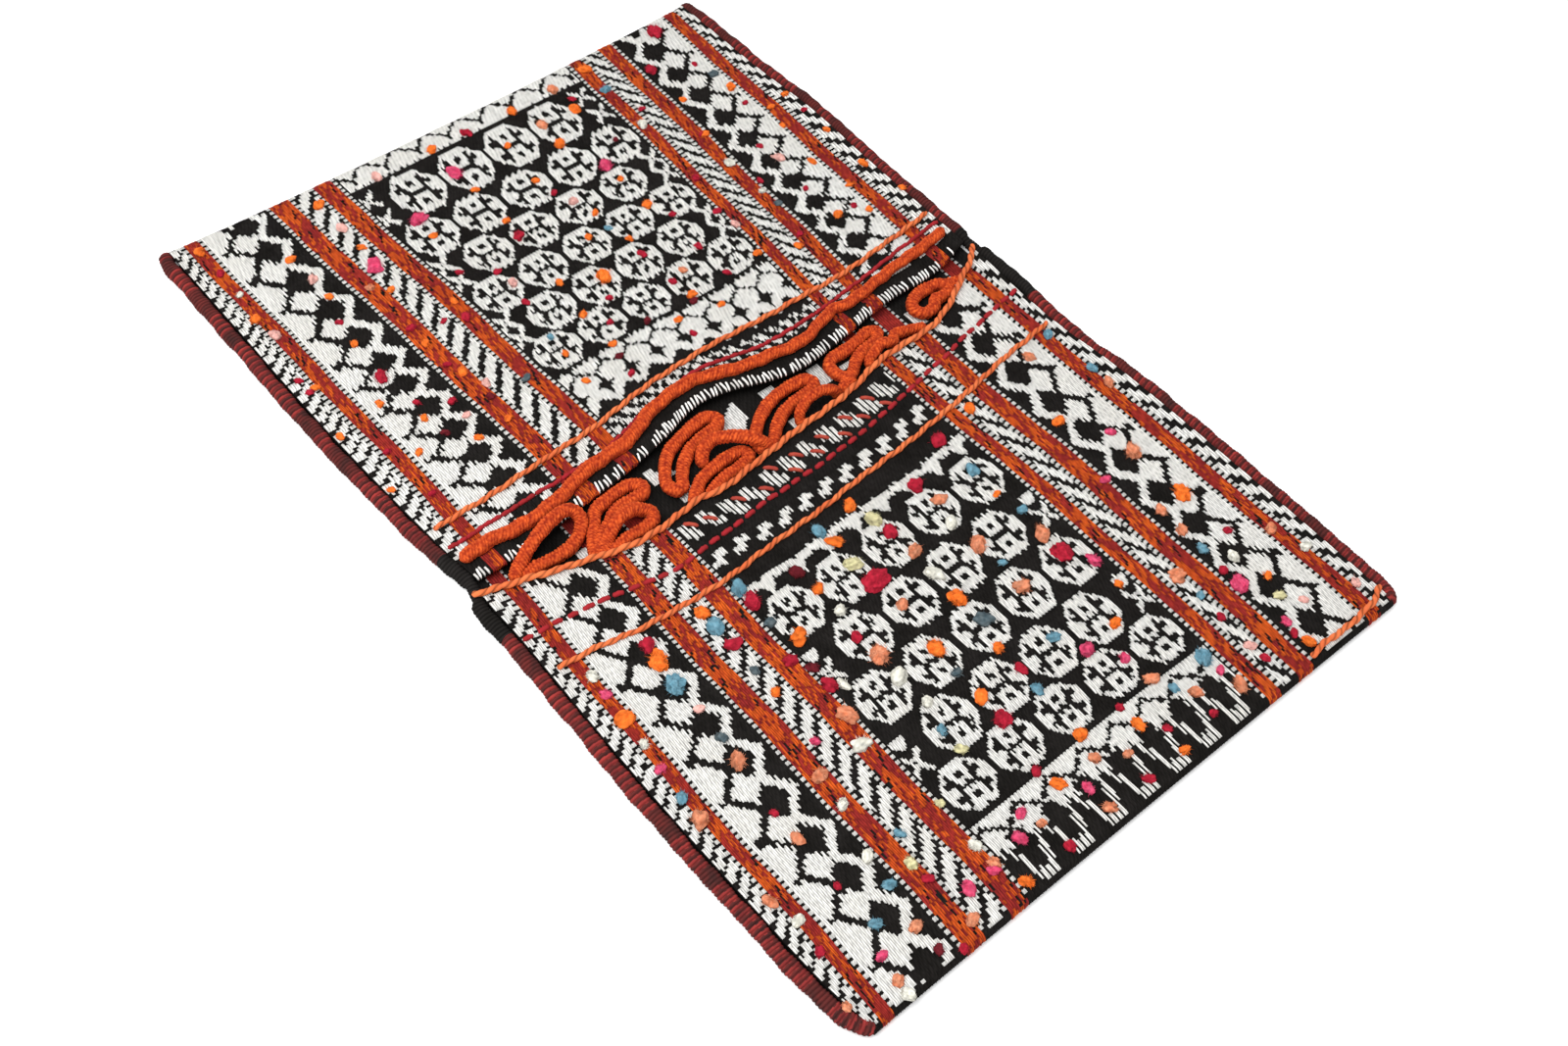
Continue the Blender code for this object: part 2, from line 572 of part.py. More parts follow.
def build_binding(name, line, y_start, y_end):
    """An overcast roll down one side of a pouch: slanted wraps, dark and red by turns."""
    side = 1 if line is RIGHT_LINE else -1
    wraps = round(abs(y_end - y_start) / WRAP_PITCH) * 2
    mesh = bmesh.new()
    rings = []
    for i in range(wraps * 2 + 1):
        y = y_start + (y_end - y_start) * i / (wraps * 2)
        if i % 2 and i not in (1, wraps * 2 - 1):
            continue
        at_end = i in (0, wraps * 2)
        crest = (i // 2) % 2 == 1 and not at_end
        size = 0.72 if at_end else (1.0 if crest else 1.0 - WRAP_DEPTH)
        centre_x = along(line, y) - side * ROLL
        ring = []
        for a, b in ((1, 0), (0.55, 1), (-0.55, 1), (-1, 0), (-0.55, -1), (0.55, -1)):
            lean = 0.0 if at_end else b * 1.6 * MM * side
            ring.append(mesh.verts.new((centre_x + side * a * ROLL * size, y + lean,
                                        ROLL + b * ROLL * size)))
        rings.append(ring)
    for i in range(len(rings) - 1):
        for k in range(6):
            j = (k + 1) % 6
            wrap = mesh.faces.new([rings[i][k], rings[i][j], rings[i + 1][j], rings[i + 1][k]])
            wrap.material_index = (i // 2) % 2
    mesh.faces.new(rings[0][::-1])
    mesh.faces.new(rings[-1])
    bmesh.ops.recalc_face_normals(mesh, faces=mesh.faces)
    data = bpy.data.meshes.new(name)
    mesh.to_mesh(data)
    mesh.free()
    return add_object(name, data, ["wrap_dark", "wrap_red"])


def build_tube(name, points, diameter, colour="braid"):
    """A cord: a curve with a round bevel and filled ends."""
    curve = bpy.data.curves.new(name, "CURVE")
    curve.dimensions = "3D"
    curve.bevel_depth = diameter / 2
    curve.bevel_resolution = 2
    curve.use_fill_caps = True
    spline = curve.splines.new("POLY")
    spline.points.add(len(points) - 1)
    for slot, point in zip(spline.points, points):
        slot.co = (*point, 1.0)
    return add_object(name, curve, [colour])


def surface_of(piece):
    """The finished piece's own faces, to lay others on."""
    return BVHTree.FromObject(piece, bpy.context.evaluated_depsgraph_get())


def seat(surface, x, y, reach):
    """Highest point of the cloth within reach of x, y."""
    heights = []
    for dx, dy in ((0, 0), (1, 0), (-1, 0), (0, 1), (0, -1), (0.7, 0.7), (-0.7, 0.7),
                   (0.7, -0.7), (-0.7, -0.7)):
        hit = surface.ray_cast(Vector((x + dx * reach, y + dy * reach, 0.1)), Vector((0, 0, -1)))
        if hit[0]:
            heights.append(hit[0].z)
    return max(heights)


def build_laid_cord(name, points, diameter, step, surface):
    """A cord that lies on the face and is sewn down along its length."""
    flat = route([(x, y, 0) for x, y in points], step)
    raised = []
    for point in flat:
        z = seat(surface, point.x, point.y, step * 0.7) + GAP + diameter / 2
        raised.append((point.x, point.y, z))
    return build_tube(name, raised, diameter)


def build_mouth_cord(surface):
    """The cord sewn along the lower pouch's mouth, on the edge of the weave."""
    left = cloth_side(LEFT_LINE, 0.0) + 6 * MM
    right = cloth_side(RIGHT_LINE, 0.0) - 6 * MM
    step = 3 * MOUTH_CORD_D
    count = round((right - left) / step)
    points = []
    for i in range(count + 1):
        x = left + (right - left) * i / count
        y = mouth_edge(x, False) - MOUTH_CORD_D / 3
        z = seat(surface, x, y, step * 0.6) + GAP + MOUTH_CORD_D / 2
        points.append((x, y, z))
    return build_tube("mouth_cord_lower", points, MOUTH_CORD_D)


def build_tuft(name, x, y, length, heading, colour, surface):
    """A knotted tuft of wool lying on the face: a small knot opening to a brush of cut ends."""
    direction = math.radians(heading)
    along_tuft = Vector((math.cos(direction), math.sin(direction), 0))
    beside = Vector((-along_tuft.y, along_tuft.x, 0))
    size = length * MM
    foot = seat(surface, x * MM, y * MM, 0.5 * size) + GAP
    mesh = bmesh.new()
    rings = []
    for place, width, height in ((-0.5, 0.14, 0.16), (-0.2, 0.36, 0.34), (0.5, 0.42, 0.26)):
        ring = []
        for k in range(TUFT_SIDES):
            angle = 2 * math.pi * (k + 0.5) / TUFT_SIDES
            point = (Vector((x * MM, y * MM, foot)) + along_tuft * place * size
                     + beside * math.cos(angle) * width * size
                     + Vector((0, 0, height * size * (1 + math.sin(angle)))))
            ring.append(mesh.verts.new(point))
        rings.append(ring)
    for lower, higher in zip(rings, rings[1:]):
        for k in range(TUFT_SIDES):
            j = (k + 1) % TUFT_SIDES
            mesh.faces.new([lower[k], lower[j], higher[j], higher[k]])
    mesh.faces.new(rings[0][::-1])
    mesh.faces.new(rings[-1])
    bmesh.ops.recalc_face_normals(mesh, faces=mesh.faces)
    data = bpy.data.meshes.new(name)
    mesh.to_mesh(data)
    mesh.free()
    return add_object(name, data, [colour])


cloth = build_cloth()
bpy.context.view_layer.update()
cloth_surface = surface_of(cloth)

build_binding("side_binding_upper_left", LEFT_LINE, 387 * MM, 6 * MM)
build_binding("side_binding_upper_right", RIGHT_LINE, 387 * MM, 41 * MM)
build_binding("side_binding_lower_left", LEFT_LINE, -6 * MM, -387 * MM)
build_binding("side_binding_lower_right", RIGHT_LINE, 27 * MM, -387 * MM)

build_laid_cord("mouth_braid_upper", MOUTH_BRAID, BRAID_D, 2.8 * BRAID_D, cloth_surface)
build_laid_cord("couched_cord_upper", COUCHED_UPPER, COUCHED_D, 3 * COUCHED_D, cloth_surface)
build_laid_cord("couched_cord_lower", COUCHED_LOWER, COUCHED_D, 3 * COUCHED_D, cloth_surface)
build_laid_cord("corner_stitch_cord", CORNER_STITCH, CORNER_D, 2.5 * CORNER_D, cloth_surface)
build_mouth_cord(cloth_surface)

for loop_name, loop_d, loop_route in LOOPS:
    build_tube(loop_name, route(loop_route, 1.4 * loop_d * MM), loop_d * MM)

for tuft in TUFTS:
    build_tuft(*tuft, cloth_surface)
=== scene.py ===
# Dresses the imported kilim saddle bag: the strand-by-strand weave of both pouches, the plaited
# closing loops, the overcast sides, the sewn braids and cords, and the knotted wool tufts.
import math

import bpy
import numpy as np
from mathutils import Matrix, Vector


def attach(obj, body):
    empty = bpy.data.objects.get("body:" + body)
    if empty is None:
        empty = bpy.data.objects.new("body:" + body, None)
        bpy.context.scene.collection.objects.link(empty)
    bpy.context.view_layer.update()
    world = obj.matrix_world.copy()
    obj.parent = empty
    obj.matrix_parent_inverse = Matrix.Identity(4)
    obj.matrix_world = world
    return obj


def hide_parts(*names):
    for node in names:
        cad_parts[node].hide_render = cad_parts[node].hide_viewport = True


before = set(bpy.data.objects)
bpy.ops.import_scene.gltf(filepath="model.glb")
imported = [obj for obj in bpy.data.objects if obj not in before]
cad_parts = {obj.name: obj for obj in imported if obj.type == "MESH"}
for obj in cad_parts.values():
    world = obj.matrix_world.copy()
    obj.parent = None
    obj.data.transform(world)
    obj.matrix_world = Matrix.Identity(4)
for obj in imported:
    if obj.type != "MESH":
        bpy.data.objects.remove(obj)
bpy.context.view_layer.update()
MM = 0.001


# The bag is seen from above one corner: the camera stands beyond the lower left corner and looks
# down across it, turned a little about its own line of sight.
FOCAL, PHOTO_WIDTH = 1944.09, 1600           # both in the photograph's pixels
CAMERA_AT = (-0.60972, -0.63085, 1.0532)
yaw, pitch, roll = (math.radians(degrees) for degrees in (45.993, 52.957, 6.541))
forward = Vector((math.sin(yaw) * math.cos(pitch), math.cos(yaw) * math.cos(pitch),
                  -math.sin(pitch)))
level = Vector((math.cos(yaw), -math.sin(yaw), 0))
upward = level.cross(forward)
right = math.cos(roll) * level + math.sin(roll) * upward
top = -math.sin(roll) * level + math.cos(roll) * upward
camera = bpy.data.objects.new("camera", bpy.data.cameras.new("camera"))
camera.data.sensor_width = 36
camera.data.lens = FOCAL * camera.data.sensor_width / PHOTO_WIDTH
turned = Matrix((right, top, -forward)).transposed().to_4x4()
camera.matrix_world = Matrix.Translation(CAMERA_AT) @ turned
scene = bpy.context.scene
scene.collection.objects.link(camera)
scene.camera = camera
scene.view_settings.view_transform = "Standard"


# The closing loops: thick soft plaits of orange wool, sewn to the lower mouth and lying over the
# bridge. Each is bent back on itself, and when the bag is shut they chain through one another.
LOOPS = [                      # thickness, then the middle line from root to root, in mm
    (9.2, [(-217, -9.5, 8.5), (-210, -4.5, 10), (-198, 1, 15.4), (-182, 6.6, 19),
        (-167, 10.4, 19.4), (-156, 9.8, 18.6), (-152, 3, 13), (-159, -5, 8.4), (-172, -10.2, 8),
        (-187, -10.4, 8.4), (-198, -9.6, 8.8), (-210, -12, 8.5)]),
    (9.2, [(-163, -28.5, 9), (-160, -24, 8.5), (-154, -14), (-145.6, -4), (-138.5, 4.4),
        (-125, 7.4), (-109, 8.6), (-100.4, 3.6), (-102, -3.2), (-113, -3.4), (-127, -3.8),
        (-137, -9.8), (-147, -16, 8), (-155, -25, 9)]),
    (9.2, [(-160, -31, 9), (-150, -23, 8.8), (-143.5, -19.4, 12), (-134, -16, 17),
        (-122, -13.8, 15), (-112.5, -16, 10), (-108.5, -21.5, 8.2), (-113.5, -27, 8.6),
        (-124, -28.4, 9), (-135, -28.2, 9.2), (-147, -31, 9.2), (-155, -33, 9)]),
    (9.2, [(-79, -20, 8.5), (-84, -14, 8), (-85, -7.5), (-78.5, 3), (-68, 13), (-54, 18.6),
        (-38, 22.4), (-25.5, 22.8), (-19.4, 17), (-25, 11.4), (-38, 10.6), (-51, 7.4), (-62.5, 1),
        (-70.5, -6.5), (-76, -14, 8), (-80, -20, 8.5)]),
    (9.2, [(-83, -34, 9), (-73, -25.5, 8.8), (-63, -19, 8.2), (-49, -15.8, 7.8), (-34, -14.6),
        (-24, -17), (-24.5, -24, 8), (-36, -27, 8.4), (-49, -28.2, 8.8), (-60, -31, 9),
        (-70, -34, 9)]),
    (9.2, [(-53, -11, 8.5), (-52, -5.8, 7.8), (-49.5, -3, 11), (-45, -0.8, 14.5),
        (-37.5, -0.8, 16), (-29.5, -6, 18), (-21.5, -12.8, 18.8), (-14.5, -19, 16),
        (-9.5, -23.4, 12), (-6, -29, 9)]),
    (9.2, [(-12, -28, 9), (-12, -20, 9), (-8, -12.5, 8.4), (1, -4, 8), (14, 3.6), (29, 8),
        (44, 8.6), (55, 6.4), (58, 0), (50, -4), (36, -4.4), (22, -7.6), (10, -14.5, 8.2),
        (3, -20.5, 8.6), (-3, -26, 9), (-7, -30, 9)]),
    (7.6, [(27, -25.5, 7.5), (27.5, -20.2, 6.8), (30, -16.6, 12), (37, -14.6, 16.5),
        (47, -14.2, 18.5), (57, -15.2, 16), (63, -17, 11.5), (65, -19, 6.8), (66, -24, 7.5)]),
    (9.2, [(79, -21, 9), (79.5, -11.5, 8.4), (77, -2), (78, 6.2), (86, 10.4), (99, 10.2),
        (111, 11.6), (122, 13.6), (128.6, 9.6), (122, 3.4), (110, 1.8), (98, -1.8), (90, -8, 8),
        (79, -14.5, 8.5), (68, -18.5, 8.5)]),
    (8, [(103, -15, 8.5), (104.5, -9.4, 8.4), (109, -8.2, 13), (117, -6.2, 16.5), (125.5, -7, 13),
        (130.5, -6.2, 9), (138, -0.6, 7.8), (147, -2.6), (155, -5.4), (163, -9, 8)]),
    (9.2, [(218, 8, 9.5), (212, 9.5, 9.5), (203, 13, 9.4), (199, 17, 8.6), (190, 19.4),
        (179, 19.2), (170.4, 15), (167, 8), (172, 1.4), (181, 1.8, 7.8), (187, 7, 7.8),
        (192, 6, 8.4), (199, 6.4, 9), (207, 9, 9.4)]),
]
LYING = 7.6                    # height of the middle line on the bridge, where none is given
PLAIT_STEP = 2.7 * MM          # from one slanted rib of a plait to the next
PLAIT_RING, PLAIT_SIDES = 0.55 * MM, 24
SPREAD = 1.14                  # how far the soft wool spreads beyond the drawn thickness of a plait


def matt(name, values):
    """A new material with one plain shader, and the shader with these values."""
    material = bpy.data.materials.new(name)
    material.use_nodes = True
    shader = material.node_tree.nodes["Principled BSDF"]
    for socket, value in values.items():
        shader.inputs[socket].default_value = value
    return material, shader


def added(material, kind, values=(), **settings):
    """One more shader node in a material."""
    node = material.node_tree.nodes.new("ShaderNode" + kind)
    for setting, value in settings.items():
        setattr(node, setting, value)
    for socket, value in dict(values).items():
        node.inputs[socket].default_value = value
    return node


def linked(material, *links):
    """Links in a material, each given as a node, its output, the next node and its input."""
    for source, output, target, socket in links:
        material.node_tree.links.new(source.outputs[output], target.inputs[socket])


def wool(name, colour, second, patch=40.0, fuzz=0.35, gloss=0.1):
    """Matt wool: two dye shades in patches, times the tone attribute's painted shade in its hollows
    and painted light on its crests and tops, with a fibrous bump.
    """
    material, shader = matt(name, {"Roughness": 0.95, "Specular IOR Level": gloss})
    place = added(material, "TexCoord")
    patches = added(material, "TexNoise", {"Scale": patch, "Detail": 4, "Roughness": 0.62})
    spread = added(material, "MapRange", {"From Min": 0.34, "From Max": 0.66})
    dye = added(material, "Mix", {"A": (*colour, 1), "B": (*second, 1)}, data_type="RGBA")
    # the tone attribute: painted shade in hollows and gaps, painted light on crests and tops, with
    # random tint
    tone = added(material, "Attribute", attribute_name="tone")
    shade = added(material, "Mix", {"Factor": 1}, data_type="RGBA", blend_type="MULTIPLY")
    fibres = added(material, "TexNoise", {"Scale": 1100, "Detail": 2})
    bump = added(material, "Bump", {"Strength": fuzz, "Distance": 0.3 * MM})
    linked(material, (place, "Object", patches, "Vector"), (place, "Object", fibres, "Vector"),
           (patches, "Fac", spread, "Value"), (spread, "Result", dye, "Factor"),
           (dye, "Result", shade, "A"), (tone, "Color", shade, "B"),
           (shade, "Result", shader, "Base Color"), (fibres, "Fac", bump, "Height"),
           (bump, "Normal", shader, "Normal"))
    return material


def woollen(name, points, faces, tone, materials, slots=None):
    """A mesh of points and of faces with three or four corners, shaded smooth, riding on the bag.
    tone is how light each point is, painted shade and painted light together with random tint, and
    slots is each face's place in materials."""
    points, tone = np.asarray(points, float), np.asarray(tone, float)
    if tone.ndim == 1:
        tone = np.repeat(tone[:, None], 3, axis=1)
    corners = [np.asarray(group, np.int32) for group in faces if len(group)]
    sizes = np.concatenate([np.full(len(group), group.shape[1]) for group in corners])
    mesh = bpy.data.meshes.new(name)
    mesh.vertices.add(len(points))
    mesh.vertices.foreach_set("co", points.astype(np.float32).ravel())
    mesh.loops.add(int(sizes.sum()))
    mesh.loops.foreach_set("vertex_index", np.concatenate([group.ravel() for group in corners]))
    mesh.polygons.add(len(sizes))
    starts = np.concatenate([[0], np.cumsum(sizes)[:-1]])
    mesh.polygons.foreach_set("loop_start", starts.astype(np.int32))
    for material in materials:
        mesh.materials.append(material)
    if slots is not None:
        mesh.polygons.foreach_set("material_index", np.asarray(slots, np.int32))
    mesh.polygons.foreach_set("use_smooth", np.ones(len(sizes), bool))
    mesh.update(calc_edges=True)
    # tone holds painted shade and painted light, with random tint
    layer = mesh.color_attributes.new("tone", "FLOAT_COLOR", "POINT")
    tone = np.hstack([tone, np.ones((len(tone), 1))]).astype(np.float32)
    layer.data.foreach_set("color", tone.ravel())
    piece = bpy.data.objects.new(name, mesh)
    scene.collection.objects.link(piece)
    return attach(piece, "root")


def walked(path):
    """How far along a path each of its points is."""
    return np.concatenate([[0], np.cumsum(np.linalg.norm(np.diff(path, axis=0), axis=1))])


def smooth_route(knots, step):
    """Evenly spaced points in metres on a smooth curve through knots given in millimetres."""
    knots = np.array(knots, float) * MM
    padded = np.vstack([2 * knots[0] - knots[1], knots, 2 * knots[-1] - knots[-2]])
    steps = 24                 # from one knot to the next
    u = np.arange(steps)[:, None] / steps
    fine = [0.5 * (2 * p1 + (p2 - p0) * u + (2 * p0 - 5 * p1 + 4 * p2 - p3) * u ** 2
                   + (3 * p1 - p0 - 3 * p2 + p3) * u ** 3)
            for p0, p1, p2, p3 in zip(padded, padded[1:], padded[2:], padded[3:])]
    fine = np.vstack(fine + [knots[-1:]])
    along = walked(fine)
    even = np.linspace(0, along[-1], max(2, round(along[-1] / step)) + 1)
    return np.stack([np.interp(even, along, fine[:, axis]) for axis in range(3)], axis=1)


def spun(path, radius, sides, surface):
    """Points, faces and tones of a closed tube along path. surface(s, angle) gives its radius as a
    share of radius and its tone, its painted shade and light, at s metres along and at that angle
    round from one side."""
    run = np.gradient(path, axis=0)
    run /= np.linalg.norm(run, axis=1)[:, None]
    beside = np.cross(run, (0, 0, 1.0))
    beside /= np.linalg.norm(beside, axis=1)[:, None]
    above = np.cross(beside, run)
    s = walked(path)
    angle = np.linspace(0, 2 * np.pi, sides, endpoint=False)
    share, tone = surface(s[:, None], angle[None, :])
    to_end = np.minimum(s, s[-1] - s) / radius
    share = share * np.sqrt(np.clip(1 - (1 - np.minimum(to_end, 1)) ** 2, 0.02, 1))[:, None]
    outward = (np.cos(angle)[None, :, None] * beside[:, None]
               + np.sin(angle)[None, :, None] * above[:, None])
    points = path[:, None] + radius * share[..., None] * outward
    index = np.arange(len(path) * sides).reshape(len(path), sides)
    around = np.roll(index, -1, axis=1)
    quads = np.stack([index[:-1], around[:-1], around[1:], index[1:]], axis=-1).reshape(-1, 4)
    points = np.vstack([points.reshape(-1, 3), path[0], path[-1]])
    first, last = len(points) - 2, len(points) - 1
    caps = np.vstack([np.stack([around[0], index[0], np.full(sides, first)], axis=-1),
                      np.stack([index[-1], around[-1], np.full(sides, last)], axis=-1)])
    tone = np.broadcast_to(tone, (*share.shape, 3) if np.ndim(tone) == 3 else share.shape)
    # the two end caps get a flat tone of 0.6, painted shade
    tone = np.concatenate([tone.reshape(share.size, *tone.shape[2:]), 0.6 + 0 * tone[0, :2]])
    return points, [quads, caps], tone


def plait(s, angle):
    """Slanted ribs that meet in chevrons along the braid, plump beside hollows; the tone paints
    shade, deeper and redder, into the hollows and a paler highlight onto the lumps.
    """
    around = (angle / (np.pi / 2)) % 2
    slope = np.abs(around - 1)
    loose = (0.22 * np.sin(s / (3.7 * MM) + 1.3 * angle)
             + 0.16 * np.sin(s / (1.3 * MM) - 2 * angle))
    rib = np.abs(np.cos(np.pi * (s / PLAIT_STEP + 1.15 * slope + loose)))
    seam = np.abs(np.sin(np.pi * slope)) ** 0.5
    knots = np.cos(2 * np.pi * (s / PLAIT_STEP + loose))
    knots = 0.5 + 0.5 * knots * np.cos(5 * angle + 1.5 * loose)
    lump = 0.4 * rib * seam + 0.6 * knots
    uneven = (0.045 * np.sin(s / (5.3 * MM) + 2 * angle)
              + 0.035 * np.sin(s / (1.9 * MM) + 3 * angle))
    # painted shade in the hollows and painted highlight on the lumps, above 1 in red
    painted_shade_and_highlight = np.stack([0.36 + 0.80 * lump, 0.16 + 1.02 * lump ** 1.3, 0.22 + 0.96 * lump ** 1.3],
                      axis=-1)
    return 0.79 + 0.23 * lump + uneven, painted_shade_and_highlight


orange_braid = wool("orange_braid", (0.80, 0.150, 0.028), (0.36, 0.042, 0.014), patch=310)
for number, (diameter, knots) in enumerate(LOOPS, 1):
    knots = [(*knot, LYING)[:3] for knot in knots]
    plaited = spun(smooth_route(knots, PLAIT_RING), SPREAD * diameter * MM / 2, PLAIT_SIDES, plait)
    loop = woollen(f"closing_loop_{number:02d}_plait", *plaited, [orange_braid])
    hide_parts(f"closing_loop_{number:02d}")


# The woven strip: one flat-woven woollen cloth, folded up at both ends into the two pouches. Black,
# white and orange warps run along it, and their floats make the rosettes, combs and stripes.
HALF_LENGTH = 392 * MM
CLOTH = 2.4 * MM               # thickness of one layer of the cloth
SIDE_ROOM = 5.2 * MM           # between a pouch's two layers at its sides
POUCH_RISE = 3.6 * MM          # how much higher a face stands in its middle
ROLL = 5.6 * MM                # radius of the overcast sides
LOWEST = 0.1 * MM              # nothing woven or wound dips nearer to the ground than this
LEFT_LINE = [
    (-392, -250), (-350, -255), (-290, -256), (-188, -256), (-60, -251.5), (-15, -251),
    (10, -245.5), (45, -249.5), (110, -253), (190, -255), (300, -254), (392, -253.5)]
RIGHT_LINE = [
    (-392, 256), (-300, 258.5), (-188, 260), (-133, 259), (-93, 255), (-55, 255.5), (-20, 259),
    (30, 258.5), (110, 259.5), (160, 261), (225, 264), (290, 261), (392, 260.5)]
UPPER_MOUTH = [
    (-250, 8), (-200, 6), (-147, 12), (-100, 17), (-63, 24.5), (-25, 33.7), (0, 30.5), (37, 17.8),
    (63, 14.5), (100, 19), (153, 26.5), (207, 27.8), (250, 40)]
LOWER_MOUTH = [
    (-250, -5), (-217, -12), (-183, -23), (-133, -37.2), (-83, -34), (-58, -37), (-13, -31.3),
    (62, -25), (113, -15), (160, -13.4), (188, -5), (213, 9), (250, 26)]
HEM_WIDTH, HEM_RISE = 13 * MM, 2.2 * MM
BANDS = {                      # edges of the six bands at the fold and at the mouth. True is upper
    True: ([-231, -220, -160, -144, -122.5, -107.5, 125.5, 137, 156, 168.5, 226.5, 238],
           [-222, -211, -142.5, -127.5, -102.5, -90, 107.5, 117.5, 136.5, 149, 212, 225]),
    False: ([-232, -222.5, -163.5, -148.5, -126.5, -111.5, 115, 126.5, 145, 160, 218.5, 231],
            [-227, -216.5, -161, -147, -126.5, -111.5, 107.5, 119, 140.5, 155.5, 218.5, 231])}
BAND_REACH = {True: (20 * MM, 372 * MM), False: (-30 * MM, 170 * MM)}   # where they shift, how far
BAND_FIELDS = (1, 3, 5, 7, 9, 11)
FIELDS = [12.5, 11, 59, 15, 23, 15, 226, 11.5, 19.5, 14, 57, 12, 12]   # widths as woven
STRAND = 1.43                  # from one warp strand to the next, in mm
PICK = 2.4                     # from one pick of the pattern to the next, in mm
PICKS = {True: 149, False: 152}
SETTLE, EASE = 24, 20          # picks before the fold, and marks in from a side, that lie straight
EDGE_STRIP = 3.4               # width of the level strip beside a band, in mm
TURNED_PICKS, FOOT_PICKS = 12, 6           # bare picks at the upper mouth and at the bottom fold
MOUTH_MIDDLE = {True: 22, False: -18}      # where the two mouths would run if they were straight
SLACK = {True: 150, False: 290}            # how far from a mouth its curve dies out in the cloth
LIP_RINGS, FOLD_RINGS = 5, 7   # mesh rings round the edge of a mouth and round a fold
BLACK, WHITE, ORANGE, RUST = range(4)
STRAND_LIFT = np.array([0.45, 0.78, 0.66, 0.66]) * MM      # how plump a float of each wool is
PAINTED_GAP_SHADE = np.array([0.6, 0.34, 0.3, 0.4])                 # painted shade in the gap beside each wool
chance = np.random.default_rng(11)


def bent(line, t):
    """The smooth curve through a line's (t, value) knots in millimetres, at t in metres."""
    knots, values = np.array(line, float).T
    t = np.clip(np.asarray(t) / MM, knots[0], knots[-1])
    i = np.clip(np.searchsorted(knots, t, side="right") - 1, 0, len(knots) - 2)
    every = np.arange(len(knots))
    before, after = np.maximum(every - 1, 0), np.minimum(every + 1, len(knots) - 1)
    slopes = (values[after] - values[before]) / (knots[after] - knots[before])
    width = knots[i + 1] - knots[i]
    u = (t - knots[i]) / width
    return MM * ((2 * u ** 3 - 3 * u ** 2 + 1) * values[i]
                 + (u ** 3 - 2 * u ** 2 + u) * width * slopes[i]
                 + (3 * u ** 2 - 2 * u ** 3) * values[i + 1]
                 + (u ** 3 - u ** 2) * width * slopes[i + 1])


def bag_side(y, rightward):
    """Where the outer edge of the bag runs, at y."""
    return bent(RIGHT_LINE if rightward else LEFT_LINE, y)


def cloth_side(y, rightward):
    """Where the cloth ends inside its overcast edge, at y."""
    return bag_side(y, rightward) - (1 if rightward else -1) * (2 * ROLL + 0.4 * MM)


def mouth_edge(x, upper):
    """Where the edge of a mouth runs, at x."""
    return bent(UPPER_MOUTH if upper else LOWER_MOUTH, x)


def face_top(x, y, upper):
    """Height of a pouch's face: level at the seams and the fold, fuller in the middle."""
    left, far = cloth_side(y, False), cloth_side(y, True)
    crown = np.sin(np.pi * np.clip((x - left) / (far - left), 0, 1)) ** 0.7
    fullness = np.sin(np.pi / 2 * np.clip(1.6 * (1 - np.abs(y) / HALF_LENGTH), 0, 1)) ** 0.6
    ripple = 0.35 * MM * np.sin(x / (31 * MM) + y / (47 * MM)) * crown * fullness
    top = 2 * CLOTH + SIDE_ROOM + POUCH_RISE * crown * fullness + ripple
    if upper:
        inward = np.clip((y - mouth_edge(x, True)) / HEM_WIDTH, 0, 1)
        top = top + HEM_RISE * crown * np.sin(np.pi * (0.12 + 0.88 * inward))
    return top


def fold_start(x, upper):
    """Where the flat face ends and the turn of the fold begins."""
    end = HALF_LENGTH if upper else -HALF_LENGTH
    left, far = cloth_side(end, False), cloth_side(end, True)
    u = np.clip((x - left) / (far - left), 0, 1)
    dip = (6.5 if upper else 1.5) * MM * np.sin(np.pi * u) ** 0.6
    y = HALF_LENGTH - dip - CLOTH - SIDE_ROOM / 2
    return y if upper else -y


def field_edges(y, upper):
    """The thirteen fields' fourteen edges across the cloth, for rows at y."""
    y = np.atleast_1d(y)
    start, reach = BAND_REACH[upper]
    share = np.clip((y - start if upper else start - y) / reach, 0, 1)[:, None]
    fold, mouth = np.array(BANDS[upper])
    return np.hstack([cloth_side(y, False)[:, None], (mouth + (fold - mouth) * share) * MM,
                      cloth_side(y, True)[:, None]])


def wave(t, period):
    """A triangle wave from 0 to 1 that is 0 at every whole period."""
    return np.abs((t / period + 0.5) % 1 - 0.5) * 2


def rosette(dx, dy, width, height):
    """A white toothed octagon with a black bar, two eyes, four uprights and four drops in it."""
    x, y = np.abs(dx) * 40 / width, np.abs(dy) * 40 / height
    white = (y < 20) & (x < np.where(y < 6, 20, 20 - (y - 6) * 0.78))
    black = (y < 2.3) & (x < 8.8)
    black |= (y > 2) & (y < 14.6) & (np.abs(x - 7.7 - 0.1 * y) < 1.75)
    black |= (x > 9) & (x < 14.8) & (np.abs(y - 6.8) < 2.4)
    black |= (x < 2.6) & (np.abs(y - 9.8) < 2.6)
    return white & ~black


def cross(dx, dy, size):
    """A white cross of two slanting bars with a black dot where they meet."""
    x, y = np.abs(dx) * 18 / size, np.abs(dy) * 18 / size
    return (np.abs(x - 0.85 * y) < 2.7) & (x < 9) & (y < 10.5) & ~((x < 1.2) & (y < 1.2))


STARS = {(True, False): [18, 45, 71, 96, 121.5, 148, 174.5, 201, 231, 268, 304, 344, 374.5, 406],
         (True, True): [24, 56, 84, 112, 137, 168, 195, 226, 254, 290, 320, 354, 386, 418],
         (False, False): range(-412, 80, 34), (False, True): range(-432, 60, 34)}


def rosette_rows(x, y, rows, step):
    """Rows of rosettes, each row given as its y, count, height, width and shift."""
    white = np.zeros(np.broadcast(x, y).shape, bool)
    for row, count, height, width, shift in rows:
        for i in range(count):
            white |= rosette(x + shift - (i - (count - 1) / 2) * step, y - row, width, height)
    return white


